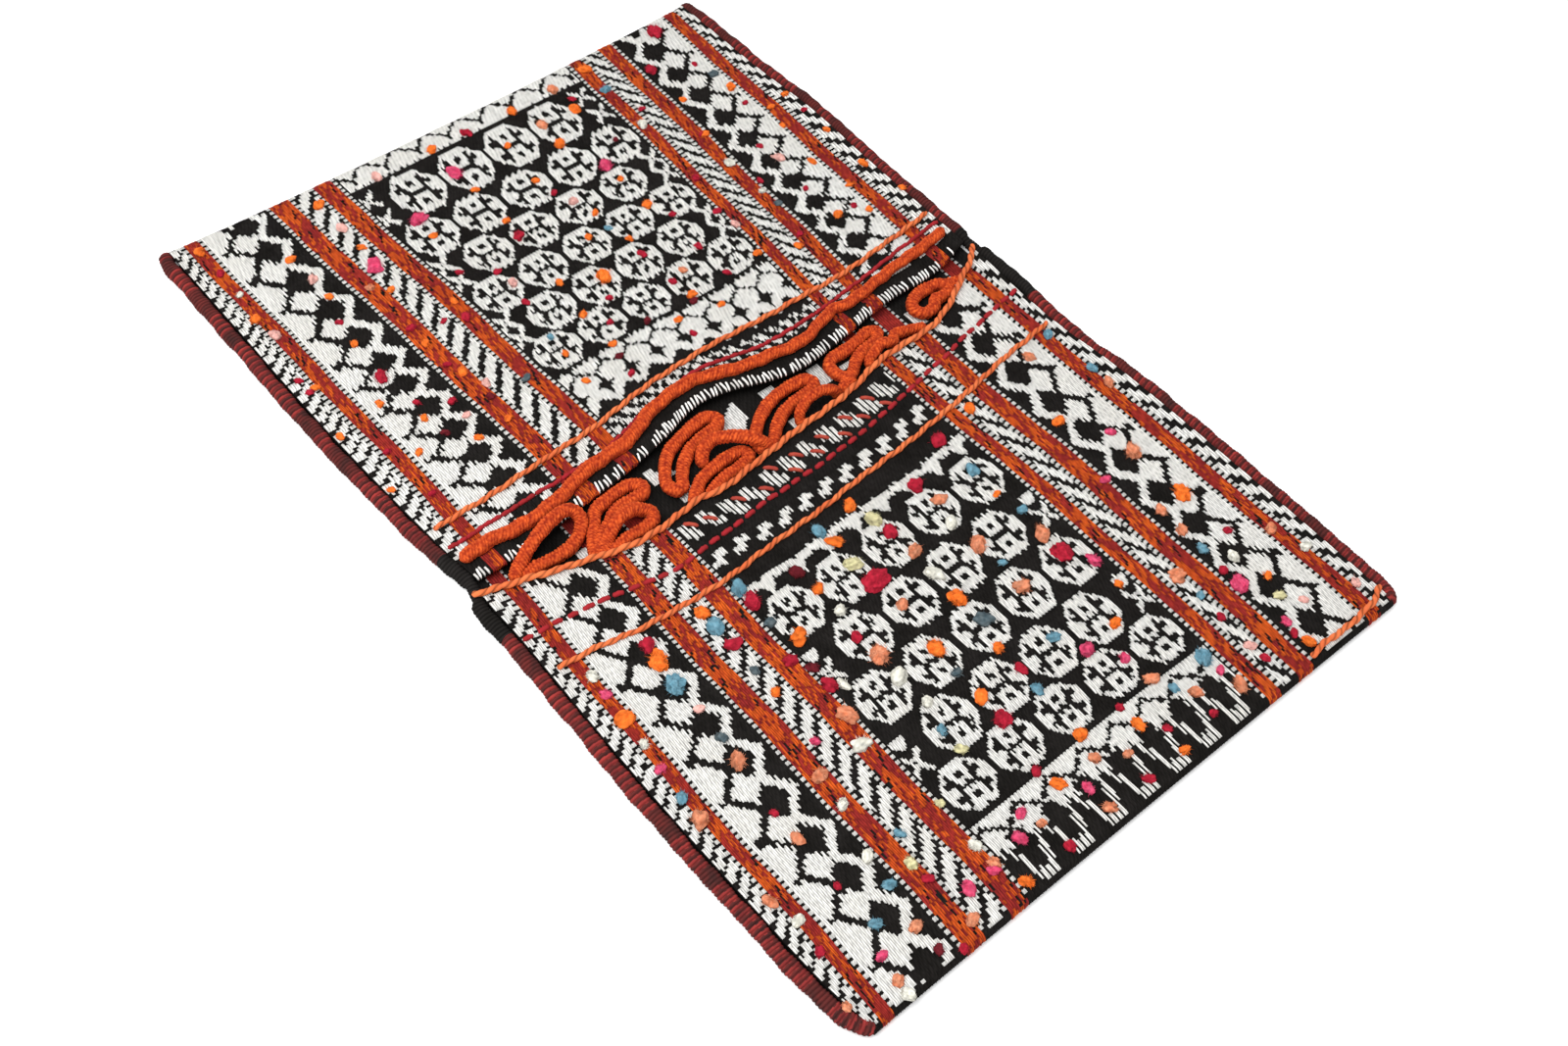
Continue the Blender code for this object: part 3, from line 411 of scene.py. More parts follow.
UPPER_ROWS = [(331.5, 4, 49, 41, 2.6), (283.5, 5, 41, 40, 0), (243.5, 4, 37.5, 40, 0),
              (206, 5, 35.5, 40, 0), (169, 4, 36.5, 40, 0), (133.5, 5, 35, 40, 0)]
LOWER_ROWS = [(-139, 5, 40, 38.5, 0), (-183.5, 4, 40, 38.5, 0), (-228.5, 5, 40, 38.5, 0),
              (-271.5, 4, 40, 38.5, 0), (-309.5, 5, 35, 38.5, 0)]


def upper_field(x, y, strand):
    """Where the wide field of the upper pouch is white: frieze, rosettes, two borders."""
    step = 43.8
    white = rosette_rows(x, y, UPPER_ROWS, step)
    for row, count, height, _, shift in UPPER_ROWS:
        if count == 4:
            for side, lift in ((-1, 0.26), (-1, -0.26), (1, 0.26), (1, -0.26)):
                white |= cross(x + shift - side * 2.33 * step, y - row - lift * height, 17)
    # the frieze at the fold: a black zigzag, and a drop in each of its corners
    vee = np.abs(y - 370.5 - 14 * wave(x - 17, 29.4)) < 1.9
    drop = (np.abs((x - 17 + 14.7) % 29.4 - 14.7) < 1.6) & (y < 370) & (y > 365)
    white |= (y > 361) & ~vee & ~drop
    # the comb border under the rosettes, with a black star in each bay
    u = 13.65 * wave(x, 27.3)
    turn = 97 + 0.66 * u
    white |= (y > turn + 1.5) & (y < 111.5) & (u < 12.2)
    star = (0.9 * u + np.abs(y - 85.6) < 6.4) | (u < 1.4) & (np.abs(y - 87) < 11)
    star |= (u < 8.4) & (np.abs(y - 85.6) < 1.3)
    white |= (y < turn - 1.5) & (y > 67 + 0.82 * u) & ~star
    # the hooked border beside the mouth
    key = (x + 1.7 * np.floor((y - 49) / 2.6) * 1.7) % 13.7 < 7.6
    return white | (y > 47) & (y < 61.5) & key & ~((y > 54.5) & (y < 57) & (x % 27.4 < 12))


def lower_field(x, y, strand):
    """Where the wide field of the lower pouch is white: blocks, lumps, rosettes, fringed cups."""
    step = 43.5
    white = rosette_rows(x, y, LOWER_ROWS, step)
    for row, count, *_ in LOWER_ROWS:
        if count == 4:
            for side in (-1, 1):
                off, up = x - side * 2.36 * step, y - row
                white |= cross(off, up + 8, 17)
                white |= (np.abs(off) < np.clip(up - 3, 0, 5.5)) & (up < 14)
    # the striped blocks at the mouth, then two rows of staggered bricks
    group = (x + 11.8 + np.where(y < -39, -3.4, 0)) % 19.8
    strands = strand % 3 > 0
    block = (y < -28) & (y > -46.5) & (group < 13.4) & strands
    white |= block & ~((y > -33) & (group > 9)) & ~((y < -43) & (group < 3))
    brick = (x + 8.5) % 20
    white |= (np.abs(y + 70.5) < 6.2) & np.where(y > -70.5, (brick > 5.5) & (brick < 15.5),
                                                 (brick > 0.5) & (brick < 10.5))
    # the line above the rosettes, with a lump under each gap
    lump = -108.5 - 9 * np.clip(1.35 - 2.9 * wave(x + 8, 26.6), 0, 1)
    white |= (y < -101.5) & (y > lump) & ~((y > -104) & (x % 31 < 4))
    # the cups at the bottom fold, with a black hexagon and a fringe of threads
    u = 14.9 * wave(x, 29.8)
    turn = -347.5 + 0.72 * u
    deep = np.clip(-350 - y, 0, 40)
    hexagon = (u < 7.2 - 0.09 * deep + 2.8 * (np.abs(y + 361) < 2.5)) & (y > -377) & (y < -350)
    threads = strands | (y > -356)
    white |= (y < -332.5) & (y > turn + 1.9)
    cup = (y < turn - 1.9) & (y > -387) & (u < 15.2 - 0.24 * deep) & threads
    return white | cup & ~hexagon & ~((u < 1.3) & (y > -352))


def comb_field(a, width, y, stars):
    """The comb border: a white strip, a black zigzag, white diamonds and a white zigzag ribbon,
    with black stars between. stars gives the stars' places along it, with diamonds between them."""
    reach = a * 51 / (width - 6.6)
    steps = (np.floor(y / 3.6) + 0.5) * 3.6
    off = 17 * wave(np.interp(steps, stars, np.arange(len(stars))), 1)
    line = 22 - 0.8 * off
    ribbon = 45.4 - 0.74 * off
    white = reach < line - 2.8
    diamond = np.abs(reach - 22) / 11.5 + (17 - off) / 12.5 < 1
    white |= (reach > line + 2.8) & diamond
    spur = (off > 14.6) & (np.abs(reach - 4.4) < 1.7)
    return (white | (np.abs(reach - ribbon) < 3.9)) & ~spur


def stepped(a, y, pitch, slant, duty):
    """Stripes that climb across a border in steps of two strands."""
    step = 2 * STRAND
    return ((y - slant * step * np.floor(a / step)) % pitch) / pitch < duty


def strokes(a, y, field, share):
    """Slanting strokes of orange among dark red, as the warps of a band cross one another."""
    strand = np.floor((a - 0.26 * y) / STRAND)
    stroke = np.floor(y / 8.2 + 0.37 * (strand % 3))
    lot = (np.sin(strand * 12.99 + stroke * 78.23 + field * 37.7) * 43758.5) % 1
    drift = 0.2 * np.sin(0.11 * y + 1.7 * field) + 0.1 * np.sin(0.31 * y + 0.5 * a)
    return np.where(lot < share + drift, ORANGE, np.where(lot > 0.95, BLACK, RUST))


def pattern(upper, field, a, width, y, row):
    """The wool that shows in one field, at a mm from its left edge, y mm and pick number row."""
    shape = np.broadcast(a, y).shape
    mirrored = field > 6
    kind = 12 - field if mirrored else field
    inward = width - a if mirrored else a
    dashes = np.broadcast_to(row % 2 == 0, shape)
    if field in BAND_FIELDS:
        return strokes(a, y, field, 0.36 if kind == 1 else 0.48)
    if kind == 0:
        white = stepped(inward, y, *((20, 2.0, 0.58) if mirrored else (11.3, 0.9, 0.66)))
        white = np.where(inward > width - 3.2, dashes, white)
    elif kind == 2:
        white = comb_field(inward - 3.3, width, y, STARS[upper, mirrored])
        white = np.where((inward < 3.3) | (inward > width - 3.3), dashes,
                         white & (inward < width - 4.8))
    elif kind == 4:
        lean_right = (17.8, -1.6, 0.6) if upper else (24, -1.9, 0.6)
        white = stepped(a - 3.5, y, *(lean_right if mirrored else (19, 1.25, 0.62)))
        white = np.where((a < 3.5) | (a > width - 3.5), dashes, white)
    else:
        wide_field = upper_field if upper else lower_field
        white = wide_field(a - width / 2, y, np.floor(a / width * round(width / STRAND)))
        white = np.where((a < 3) | (a > width - 3), dashes, white & (a > 5) & (a < width - 5))
    return np.where(white, WHITE, BLACK)


def lay_strands(heights, x, y, normal_y, normal_z, colours, tint):
    """Rounds each strand of a grid up between its two valleys and parts the floats, with painted
    shade in the valleys and at the float ends and painted light on the crests.
    The grid has a column for each valley and each crest, and colours one entry per strand."""
    picks, strands = colours.shape
    i, j = np.arange(strands)[None, :], np.arange(1, picks)[:, None]
    ends = np.ones((picks + 1, strands), bool)
    here = colours[1:]
    float_end = np.where(here == WHITE, (j + 2 * (i % 2) + (i // 7)) % 4 == 0,
                         np.where(here == BLACK, (j + i) % 2 == 0, (2 * j + i) % 6 < 2))
    ends[1:-1] = float_end | (colours[1:] != colours[:-1])
    shown = np.vstack([colours[:1], colours])
    change = np.zeros_like(ends)
    change[1:-1] = colours[1:] != colours[:-1]
    crest = STRAND_LIFT[shown] * np.where(change, 0.2, np.where(ends, 0.4, 1.0))
    # painted light on the crests, painted shade where floats end and colours change
    light = np.where(change, 0.5, np.where(ends, 0.66, 1.06))
    y = y.copy()
    lone = (here[1:-1] == BLACK) & (here[:-2] == WHITE) & (here[2:] == WHITE)
    tall = y[3:-1, 1::2] - y[2:-2, 1::2]
    y[2:-2, 1::2] += 0.17 * tall * lone
    y[3:-1, 1::2] -= 0.17 * tall * lone
    relief = np.full((picks + 1, 2 * strands + 1), -0.3 * MM)
    relief[:, 1::2] = crest
    # painted shade in the valleys between strands, scattered at random
    gap = PAINTED_GAP_SHADE[shown]
    tone = np.full((picks + 1, 2 * strands + 1), 0.5)
    tone[:, 2:-1:2] = (gap[:, 1:] + gap[:, :-1]) / 2 * chance.uniform(0.6, 1.5, gap[:, 1:].shape)
    tone[:, 1::2] = light * chance.uniform(0.88, 1.03, light.shape)
    points = np.stack([x, y + relief * normal_y, heights + relief * normal_z], axis=-1)
    return points, tone[..., None] * tint


def weave_face(upper):
    """One pouch's face as grids: points, tones and the wool of every strand at every pick."""
    sign = 1 if upper else -1
    middle, picks = MOUTH_MIDDLE[upper], PICKS[upper]
    pick = np.arange(picks + 1)
    counts = [max(2, round(width / STRAND)) for width in FIELDS]
    field = np.repeat(np.arange(13), counts)
    share = np.concatenate([(np.arange(n) + 0.5) / n for n in counts])
    marks = [np.arange(2 * n + (k == 12)) / (2 * n) for k, n in enumerate(counts)]
    columns = np.concatenate(marks)
    column_field = np.repeat(np.arange(13), [len(some) for some in marks])

    row_y = (middle + sign * PICK * pick) * MM
    edges = field_edges(row_y, upper)
    row_y = row_y[:, None]
    x = edges[:, column_field] * (1 - columns) + edges[:, column_field + 1] * columns
    place = np.arange(len(columns))
    inset = np.minimum(1, np.minimum(place, place[::-1]) / EASE)
    x = x + inset * MM * (0.7 * np.sin(row_y / (23 * MM) + x / (60 * MM))
                          + 0.25 * np.sin(row_y / (7.3 * MM) + columns * 9 + column_field))
    slack = np.clip(1 - PICK * pick / SLACK[upper], 0, 1)[:, None] ** 2
    y = row_y + (mouth_edge(x, upper) - middle * MM) * slack
    settle = np.clip((pick - (picks - SETTLE)) / SETTLE, 0, 1)[:, None] ** 2
    y = y + (fold_start(x[-1], upper) - y[-1]) * settle
    free = inset * (1 - settle) * np.clip(pick / 12, 0, 1)[:, None]
    y = y + free * 0.9 * MM * np.sin(x / (37 * MM) + row_y / (29 * MM))
    stagger = np.zeros(x.shape[1])
    stagger[3::4] = PICK / 2 * MM
    from_edge = np.minimum(columns, 1 - columns) * np.array(FIELDS)[column_field]
    stagger[(from_edge < EDGE_STRIP) | np.isin(column_field, (0, 12))] = 0
    y[1:] += sign * stagger * (1 - settle[1:])
    z = face_top(x, y, upper)

    lip = np.linspace(-np.pi / 2, np.pi / 2, LIP_RINGS + 1)[:-1, None]
    turn = np.linspace(np.pi / 2, -np.pi / 2, FOLD_RINGS + 1)[1:, None]
    edge, thick = (1.3 * MM, 2.1 * MM) if upper else (0.9 * MM, 1.2 * MM)
    radius = z[-1:] / 2
    y = np.vstack([y[:1] - sign * edge * np.cos(lip), y, y[-1:] + sign * radius * np.cos(turn)])
    z = np.vstack([z[:1] - thick + thick * np.sin(lip), z, radius + radius * np.sin(turn)])
    x = np.pad(x, ((LIP_RINGS, FOLD_RINGS), (0, 0)), mode="edge")
    level = np.zeros((picks + 1, 1))
    normal_y = np.vstack([-sign * np.cos(lip), level, sign * np.cos(turn)])
    normal_z = np.vstack([np.sin(lip), level + 1, np.sin(turn)])

    rows = np.arange(picks + LIP_RINGS + FOLD_RINGS)
    pick_y = middle + sign * PICK * (rows - LIP_RINGS + 0.5)
    strand = np.arange(len(field))
    uneven = chance.uniform(-0.5, 0.5, len(field)) + 0.5 * np.where(strand // 2 % 2, 1, -1)
    colours = np.zeros((len(rows), len(field)), int)
    for k in range(13):
        mine = np.flatnonzero(field == k)
        colours[:, mine] = pattern(upper, k, share[mine][None, :] * FIELDS[k], FIELDS[k],
                                   pick_y[:, None] + uneven[mine][None, :], rows[:, None])
    bare = slice(0, TURNED_PICKS) if upper else slice(-FOOT_PICKS, None)
    colours[bare, ~np.isin(field, BAND_FIELDS)] = BLACK
    tint = np.repeat(chance.uniform(0.93, 1.03, (1, len(field), 1)), 2, axis=1)
    tint = np.concatenate([tint, tint[:, :1]], axis=1) * np.array([1, 0.995, 0.985])
    points, tone = lay_strands(z, x, y, normal_y, normal_z, colours, tint)
    points[..., 2] = np.maximum(points[..., 2], LOWEST)
    return points, tone, colours, field


def grid_faces(rows, columns, flipped):
    """Corner numbers of the quads of a grid of points, rows by columns."""
    index = np.arange(rows * columns).reshape(rows, columns)
    quads = np.stack([index[:-1, :-1], index[:-1, 1:], index[1:, 1:], index[1:, :-1]], axis=-1)
    return quads[..., ::-1 if flipped else 1].reshape(-1, 4)


def together(parts):
    """One mesh from many. Each part is its points, its groups of faces and its tones."""
    points, faces, tones = zip(*parts)
    starts = np.cumsum([0] + [len(some) for some in points])
    groups = [np.vstack([group + start for group, start in zip(alike, starts)])
              for alike in zip(*faces)]
    return np.vstack(points), groups, np.concatenate(tones)


weave = [wool("weave_black", (0.011, 0.010, 0.009), (0.019, 0.017, 0.016), patch=60, gloss=0.03),
         wool("weave_white", (0.95, 0.945, 0.915), (0.92, 0.905, 0.86), patch=26),
         wool("weave_orange", (0.82, 0.135, 0.018), (0.62, 0.080, 0.016), patch=60),
         wool("weave_rust", (0.42, 0.036, 0.024), (0.27, 0.022, 0.022), patch=60)]

for upper in (True, False):
    points, tone, colours, field = weave_face(upper)
    half = "upper" if upper else "lower"
    for part, wanted in (("middle_field", field == 6), ("side_fields", field != 6)):
        strands = np.flatnonzero(wanted)
        grids, slots = [], []
        for run in np.split(strands, np.flatnonzero(np.diff(strands) > 1) + 1):
            columns = slice(2 * run[0], 2 * run[-1] + 3)
            grid = points[:, columns]
            grids.append((grid.reshape(-1, 3), [grid_faces(*grid.shape[:2], not upper)],
                          tone[:, columns].reshape(-1, 3)))
            slots.append(np.repeat(colours[:, run], 2, axis=1).ravel())
        piece = woollen(f"{half}_face_{part}", *together(grids), weave, np.concatenate(slots))
        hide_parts("woven_cloth")


# The back of the strip: plain warp-faced weave in black with the six bands running through, flat on
# whatever the bag lies on. Between the mouths it shows as the bridge, with white brocaded blocks.
BRIDGE_WHITE = [               # corners of the white blocks, going round the same way
    [(3, 27.5), (4, 10), (-12, -6.5), (-27, 5), (-10, 18.5)],
    [(24, 20.5), (37, 20.5), (37, 14), (24, 14)], [(67, 16.5), (78, 16.5), (78, -3.5), (67, -3.5)],
    [(24, -13), (32, -13), (32, -24), (24, -24)], [(-90, 14.5), (-82, 14.5), (-82, 1), (-90, 1)],
    [(-84, 11), (-65, 0), (-82, -1)], [(-82, -11), (-68, -11), (-68, -24), (-82, -24)],
    [(-168, -13), (-160, -13), (-160, -24), (-168, -24)], [(88, 5), (107, 5), (107, -1), (88, -1)],
    [(163, 15), (172, 15), (172, -2), (163, -2)]]
JUST_INSIDE = 12.999           # the last strand's far side, in fields from the left


def plain_weave(strand, rows, height, down):
    """Plain stripes of strands at one height, with rows as y in mm: the mesh and its wools."""
    counts = [max(2, round(width / strand)) for width in FIELDS]
    field = np.repeat(np.arange(13), counts)
    marks = [k + np.arange(2 * n) / (2 * n) for k, n in enumerate(counts)]
    marks = np.concatenate(marks + [[JUST_INSIDE]])
    column_field = marks.astype(int)
    edges = field_edges(rows * MM, False)
    x = edges[:, column_field] * (1 - marks % 1) + edges[:, column_field + 1] * (marks % 1)
    y = np.repeat(rows[:, None] * MM, x.shape[1], axis=1)
    colours = np.where(np.isin(field, BAND_FIELDS), RUST, BLACK)
    colours = np.repeat(colours[None], len(rows) - 1, axis=0)
    change = np.flatnonzero(np.diff(field))
    beside = np.isin(np.arange(len(field)), np.concatenate([change, change + 1]))
    colours[::2, beside & (colours[0] == BLACK)] = WHITE
    if not down:
        middle_y, middle_x = (rows[:-1] + rows[1:]) / 2, (x[0, :-2:2] + x[0, 2::2]) / 2 / MM
        for corners in BRIDGE_WHITE:
            within = np.ones(colours.shape, bool)
            for (x0, y0), (x1, y1) in zip(corners, corners[1:] + corners[:1]):
                within &= ((x1 - x0) * (middle_y[:, None] - y0)
                           - (y1 - y0) * (middle_x[None] - x0) < 0)
            colours[within] = WHITE
    tint = np.repeat(chance.uniform(0.9, 1.04, (1, len(field), 1)), 2, axis=1)
    tint = np.concatenate([tint, tint[:, :1]], axis=1) * np.ones(3)
    points, tone = lay_strands(height, x, y, 0, -1 if down else 1, colours, tint)
    return (points.reshape(-1, 3), [grid_faces(*points.shape[:2], down)], tone.reshape(-1, 3),
            weave, np.repeat(colours, 2, axis=1).ravel())


for name, strand, rows, height, down in (
        ("bridge", 1.9, np.arange(-62.4, 72.1, 2.4), CLOTH - 0.5 * MM, False),
        ("back_panel", 2.9, np.linspace(-384, 381.5, 66), 0.75 * MM, True)):
    panel = woollen(name, *plain_weave(strand, rows, height, down))
    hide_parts("woven_cloth")


# The reverse of each face, the inside of its pouch: the same black cloth, with no pattern on this
# side. It hangs one thickness of cloth under the face and is held with it at the fold and sides.
ROWS, COLUMNS, REVERSE_LENGTH = 30, 36, 0.37
for upper in (True, False):
    sign, half = (1, "upper") if upper else (-1, "lower")
    u, v = np.linspace(0, 1, COLUMNS)[None, :], np.linspace(0, 1, ROWS)[:, None]
    y_guess = sign * (20 + 362 * v) * MM + 0 * u
    left, far = cloth_side(y_guess, False), cloth_side(y_guess, True)
    x = left + (far - left) * u
    start, end = mouth_edge(x, upper), fold_start(x, upper)
    y = start + (end - start) * v
    z = face_top(x, y, upper) - CLOTH
    # Its flat tone of 0.8 darkens it, painted shade inside the pouch.
    inside = woollen(f"{half}_face_reverse", np.stack([x, y, z], axis=-1).reshape(-1, 3),
                     [grid_faces(ROWS, COLUMNS, upper)], np.full(ROWS * COLUMNS, 0.8),
                     [weave[BLACK]])
    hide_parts("woven_cloth")


# The overcast sides: each pouch's two edges are sewn together with thick wool wound round them, in
# pairs of dark red and near-black wraps, into a ribbed roll.
WRAP_RINGS = 4                 # mesh rings across one wrap of wool
RING, ROLL_SIDES = 0.7 * MM, 14
LEAN = 1.1 * MM                # how far a wrap slants from the middle of the roll to its side
wrap_dark = wool("binding_dark", (0.048, 0.016, 0.015), (0.12, 0.020, 0.018), patch=90)
wrap_red = wool("binding_red", (0.30, 0.034, 0.030), (0.13, 0.018, 0.018), patch=75)
BINDINGS = [                   # on the right or not, from y to y, and the black run at the mouth
    ("upper_left", False, 393, 6, 30), ("upper_right", True, 393, 41, 9),
    ("lower_left", False, -6, -391, 36), ("lower_right", True, 27, -391, 60)]


def wraps(side):
    """The ribbed surface of yarn wound round an edge, with painted shade in the grooves between
    wraps. side is -1 on the left and 1 on the right.
    """
    def wound(s, angle):
        lean = LEAN * np.sin(angle) * side
        rib = np.abs(np.sin(np.pi * (s + lean) / (WRAP_RINGS * RING)))
        coarse = (1 + 0.05 * np.sin(s / (6.1 * MM) + 2 * side)
                  + 0.05 * np.sin(s / (2.3 * MM) + 2 * angle))
        return (0.82 + 0.17 * rib ** 0.7) * coarse, 0.35 + 0.75 * rib
    return wound


for name, rightward, y_start, y_end, black_run in BINDINGS:
    side = 1 if rightward else -1
    is_upper = name.startswith("upper")
    y = np.linspace(y_start, y_end, round(abs(y_end - y_start) * MM / RING)) * MM
    lumps = 0.5 * MM * np.sin(y / (9 * MM)) * np.sin(y / (31 * MM) + side)
    to_corner = np.clip((np.abs(y) - 370 * MM) / (20 * MM), 0, 1)
    rounding = (3 if is_upper else 7.5) * MM * to_corner ** 2.2
    x = bag_side(y, rightward) - side * ROLL
    path = np.stack([x + side * (lumps - rounding), y, np.full_like(y, ROLL)], axis=1)
    points, faces, tone = spun(path, ROLL, ROLL_SIDES, wraps(side))
    points[:, 2] = np.maximum(points[:, 2], LOWEST)
    rings = np.arange(len(path) - 1)[:, None] * RING + 0.5 * RING
    angle = np.linspace(0, 2 * np.pi, ROLL_SIDES, endpoint=False) + 0.22
    lean = LEAN * np.sin(angle)[None, :] * side
    wrap = np.floor((rings + lean) / (WRAP_RINGS * RING)).astype(int)
    dark_run = np.sin(wrap * 0.37) + np.sin(wrap * 0.113 + side) > (0.45 if is_upper else 1.1)
    y_mouth = y_end if is_upper else y_start
    black = np.abs(y[:-1, None] - y_mouth * MM) < black_run * MM
    slots = np.where(black, 2, np.where((wrap % 2 == 0) & ~dark_run, 1, 0))
    binding = woollen(f"side_binding_{name}_wraps", points, faces, tone,
                      [wrap_dark, wrap_red, weave[BLACK]],
                      np.concatenate([slots.ravel(), np.zeros(len(faces[1]), int)]))
    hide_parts(f"side_binding_{name}")
NOTCH_ROLL, NOTCH_HEIGHT = 4.6 * MM, 4.9 * MM
for name, rightward, low, high in (("left", False, -16, 18), ("right", True, 17, 52)):
    y = np.linspace(low, high, 50) * MM
    x = bag_side(y, rightward) - (1 if rightward else -1) * (ROLL + 1 * MM)
    path = np.stack([x, y, np.full_like(y, NOTCH_HEIGHT)], axis=1)
    selvedge = woollen(f"notch_selvedge_{name}", *spun(path, NOTCH_ROLL, ROLL_SIDES, wraps(1)),
                       [weave[BLACK]])


# The trimmings of the mouths: a thick orange plait above the upper hem, a thin two-ply cord along
# the lower edge, and one more thin cord couched straight across each face.
MOUTH_BRAID = [
    (-236, 22), (-217, 23.7), (-180, 20.3), (-150, 23.7), (-133, 29.5), (-108, 32.8), (-83, 35.3),
    (-63, 43.7), (-46.7, 47.8), (-25, 50.3), (-8.3, 47.8), (6.7, 42), (23, 37), (43, 34.5),
    (63, 31.3), (80, 32.2), (110, 40.3), (130, 39.5), (167, 44.5), (207, 48.7), (239, 54)]
COUCHED_UPPER = [
    (-235, 55.5), (-190, 56), (-136.5, 58), (-90, 61), (-36.5, 68), (16.5, 69), (96.5, 66.5),
    (163.5, 67.5), (244, 77)]
COUCHED_LOWER = [
    (-236, -84), (-203.5, -87.5), (-170, -94), (-130, -97.5), (-103.5, -97.5), (-36.5, -94),
    (30, -89), (96.5, -84), (130, -79), (180, -71), (236, -63.5)]
LOWER_EDGE = [(x, y - 1.7) for x, y in [(-246, -2), (-228, -9)] + LOWER_MOUTH[2:-1]
              + [(229, 17), (241, 25), (247, 31)]]
CORNER = [
    (161, -385), (178, -384), (196, -385), (214, -384), (232, -382), (245, -377)]
TRIMMINGS = [                  # with their thickness in mm, and whether on the upper face
    ("mouth_braid_upper", MOUTH_BRAID, 9.6, True), ("mouth_cord_lower", LOWER_EDGE, 5, False),
    ("couched_cord_upper", COUCHED_UPPER, 4.2, True),
    ("couched_cord_lower", COUCHED_LOWER, 4.2, False), ("corner_stitch_cord", CORNER, 4.8, False)]
orange_cord = wool("orange_cord", (0.70, 0.175, 0.058), (0.56, 0.110, 0.036), patch=90)


def two_ply(diameter):
    """The surface of two yarns twisted round each other, gripped here and there by a stitch, with
    painted shade in the grooves between the yarns and where they are gripped.
    """
    def twist(s, angle):
        loose = 0.5 * np.sin(s / (9.1 * MM)) + 0.35 * np.sin(s / (3.3 * MM))
        round_it = np.abs(np.cos(angle - np.pi * s / (1.7 * diameter) + loose))
        between = np.abs(np.sin(np.pi * s / (11 * MM) + loose))
        gripped = 0.84 + 0.16 * np.minimum(1, 1.5 * between)
        return ((0.66 + 0.34 * round_it ** 0.8) * gripped,
                0.3 + 0.76 * np.minimum(1, round_it * 1.4) * gripped)
    return twist


THINNING, THIN_FROM, THIN_OVER = 0.16, 0.15, 0.2     # of the braid, in metres from its left end


def mouth_plait(s, angle):
    """The same plait, pulled thinner towards the right end of the mouth."""
    share, painted_shade_and_highlight = plait(s, angle)
    return share * (1 - THINNING * np.clip((s - THIN_FROM) / THIN_OVER, 0, 1)), painted_shade_and_highlight


for name, knots, thickness, upper in TRIMMINGS:
    diameter, braided = thickness * MM, name == "mouth_braid_upper"
    path = smooth_route([(x, y, 0) for x, y in knots], 0.9 * MM)
    x = path[:, 0]
    path[:, 1] += 0.5 * MM * np.sin(x / (3.4 * MM)) + 0.35 * MM * np.sin(x / (13 * MM))
    path[:, 2] = (face_top(x, path[:, 1], upper) + 0.42 * diameter
                  + 0.2 * MM * np.sin(x / (7 * MM)))
    if name == "mouth_cord_lower":
        path[:, 2] += 0.8 * MM                 # on the turned edge of the cloth
    if braided:
        trim = spun(path, diameter * SPREAD / 2, PLAIT_SIDES, mouth_plait)
    else:
        trim = spun(path, diameter / 2, 16, two_ply(diameter))
    trim = woollen(f"{name}_wool", *trim, [orange_braid if braided else orange_cord])
    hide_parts(name)


# Dark red running stitches cross both faces beside the mouths, and a few longer slanted stitches of
# the same yarn cross the white blocks at the lower mouth.
STITCH_UPPER = [
    (-236, 38), (-220, 37.5), (-153.5, 37.5), (-103.5, 39), (-70, 47.5), (-36.5, 54), (0, 56.5),
    (46.5, 47.5), (90, 47.5), (130, 51), (170, 56), (206.5, 61), (247, 66)]
STITCH_LOWER = [
    (-240, -52.5), (-203.5, -56), (-160, -64), (-126.5, -71), (-83.5, -67.5), (-36.5, -64),
    (13.5, -62.5), (63.5, -57.5), (113.5, -49), (146.5, -42.5), (196.5, -32.5), (245, -24)]
SLANTED = [
    (-97, -48), (-83, -52), (-57, -51), (-36, -56), (-22, -44), (-9, -56), (0, -46), (14, -53),
    (25, -45), (40, -53), (50, -42), (61, -49), (75, -38), (83, -50)]
stitch_red = wool("stitch_red", (0.36, 0.020, 0.028), (0.26, 0.018, 0.020), patch=120)
float_red = wool("float_red", (0.40, 0.065, 0.040), (0.28, 0.035, 0.028), patch=120)


def stitch(start, end, upper, thick, bow):
    """One stitch: a short yarn that dips into the weave at both ends."""
    def yarn(s, angle):
        # the tone is painted light on top of the yarn and painted shade under it
        return 1 + 0.12 * np.cos(3 * angle - s / (0.6 * MM)), 0.85 + 0.15 * np.sin(angle)

    u = np.linspace(0, 1, 9)
    flat = np.outer(1 - u, start) + np.outer(u, end)
    z = face_top(flat[:, 0], flat[:, 1], upper) + bow * np.sin(np.pi * u) - 0.1 * MM
    return spun(np.column_stack([flat, z]), thick / 2, 7, yarn)


for name, line, upper, length, thick, reach in (
        ("upper_running_stitch", STITCH_UPPER, True, 3.6 * MM, 3.3 * MM, 1.12),
        ("lower_running_stitch", STITCH_LOWER, False, 5.6 * MM, 3.6 * MM, 0.78)):
    marks = smooth_route([(x, y, 0) for x, y in line], length)[:, :2]
    marks[:, 1] += chance.uniform(-0.7, 0.7, len(marks)) * MM
    stitches = [stitch(a, a + (b - a) * reach * chance.uniform(0.85, 1.15), upper, thick, 1.15 * MM)
                for a, b in zip(marks[:-2:2], marks[2::2])]
    woollen(name, *together(stitches), [stitch_red])
slants = [stitch(np.array([x - 3.8, y + 4]) * MM, np.array([x + 4.2, y - 4]) * MM, False,
                 2.9 * MM, 1.5 * MM) for x, y in SLANTED]
woollen("slanted_stitches", *together(slants), [float_red])


# The barred hem: along the rolled edge of the upper mouth, white yarns lie side by side over the
# black turning, each gripping the roll like a short bar.
def bar_yarn(light):
    """The surface of one white yarn, as light as light, with painted light on its top and painted
    shade under it.
    """
    def yarn(s, angle):
        return 1 + 0 * s + 0 * angle, light * (0.9 + 0.12 * np.sin(angle)) + 0 * s
    return yarn


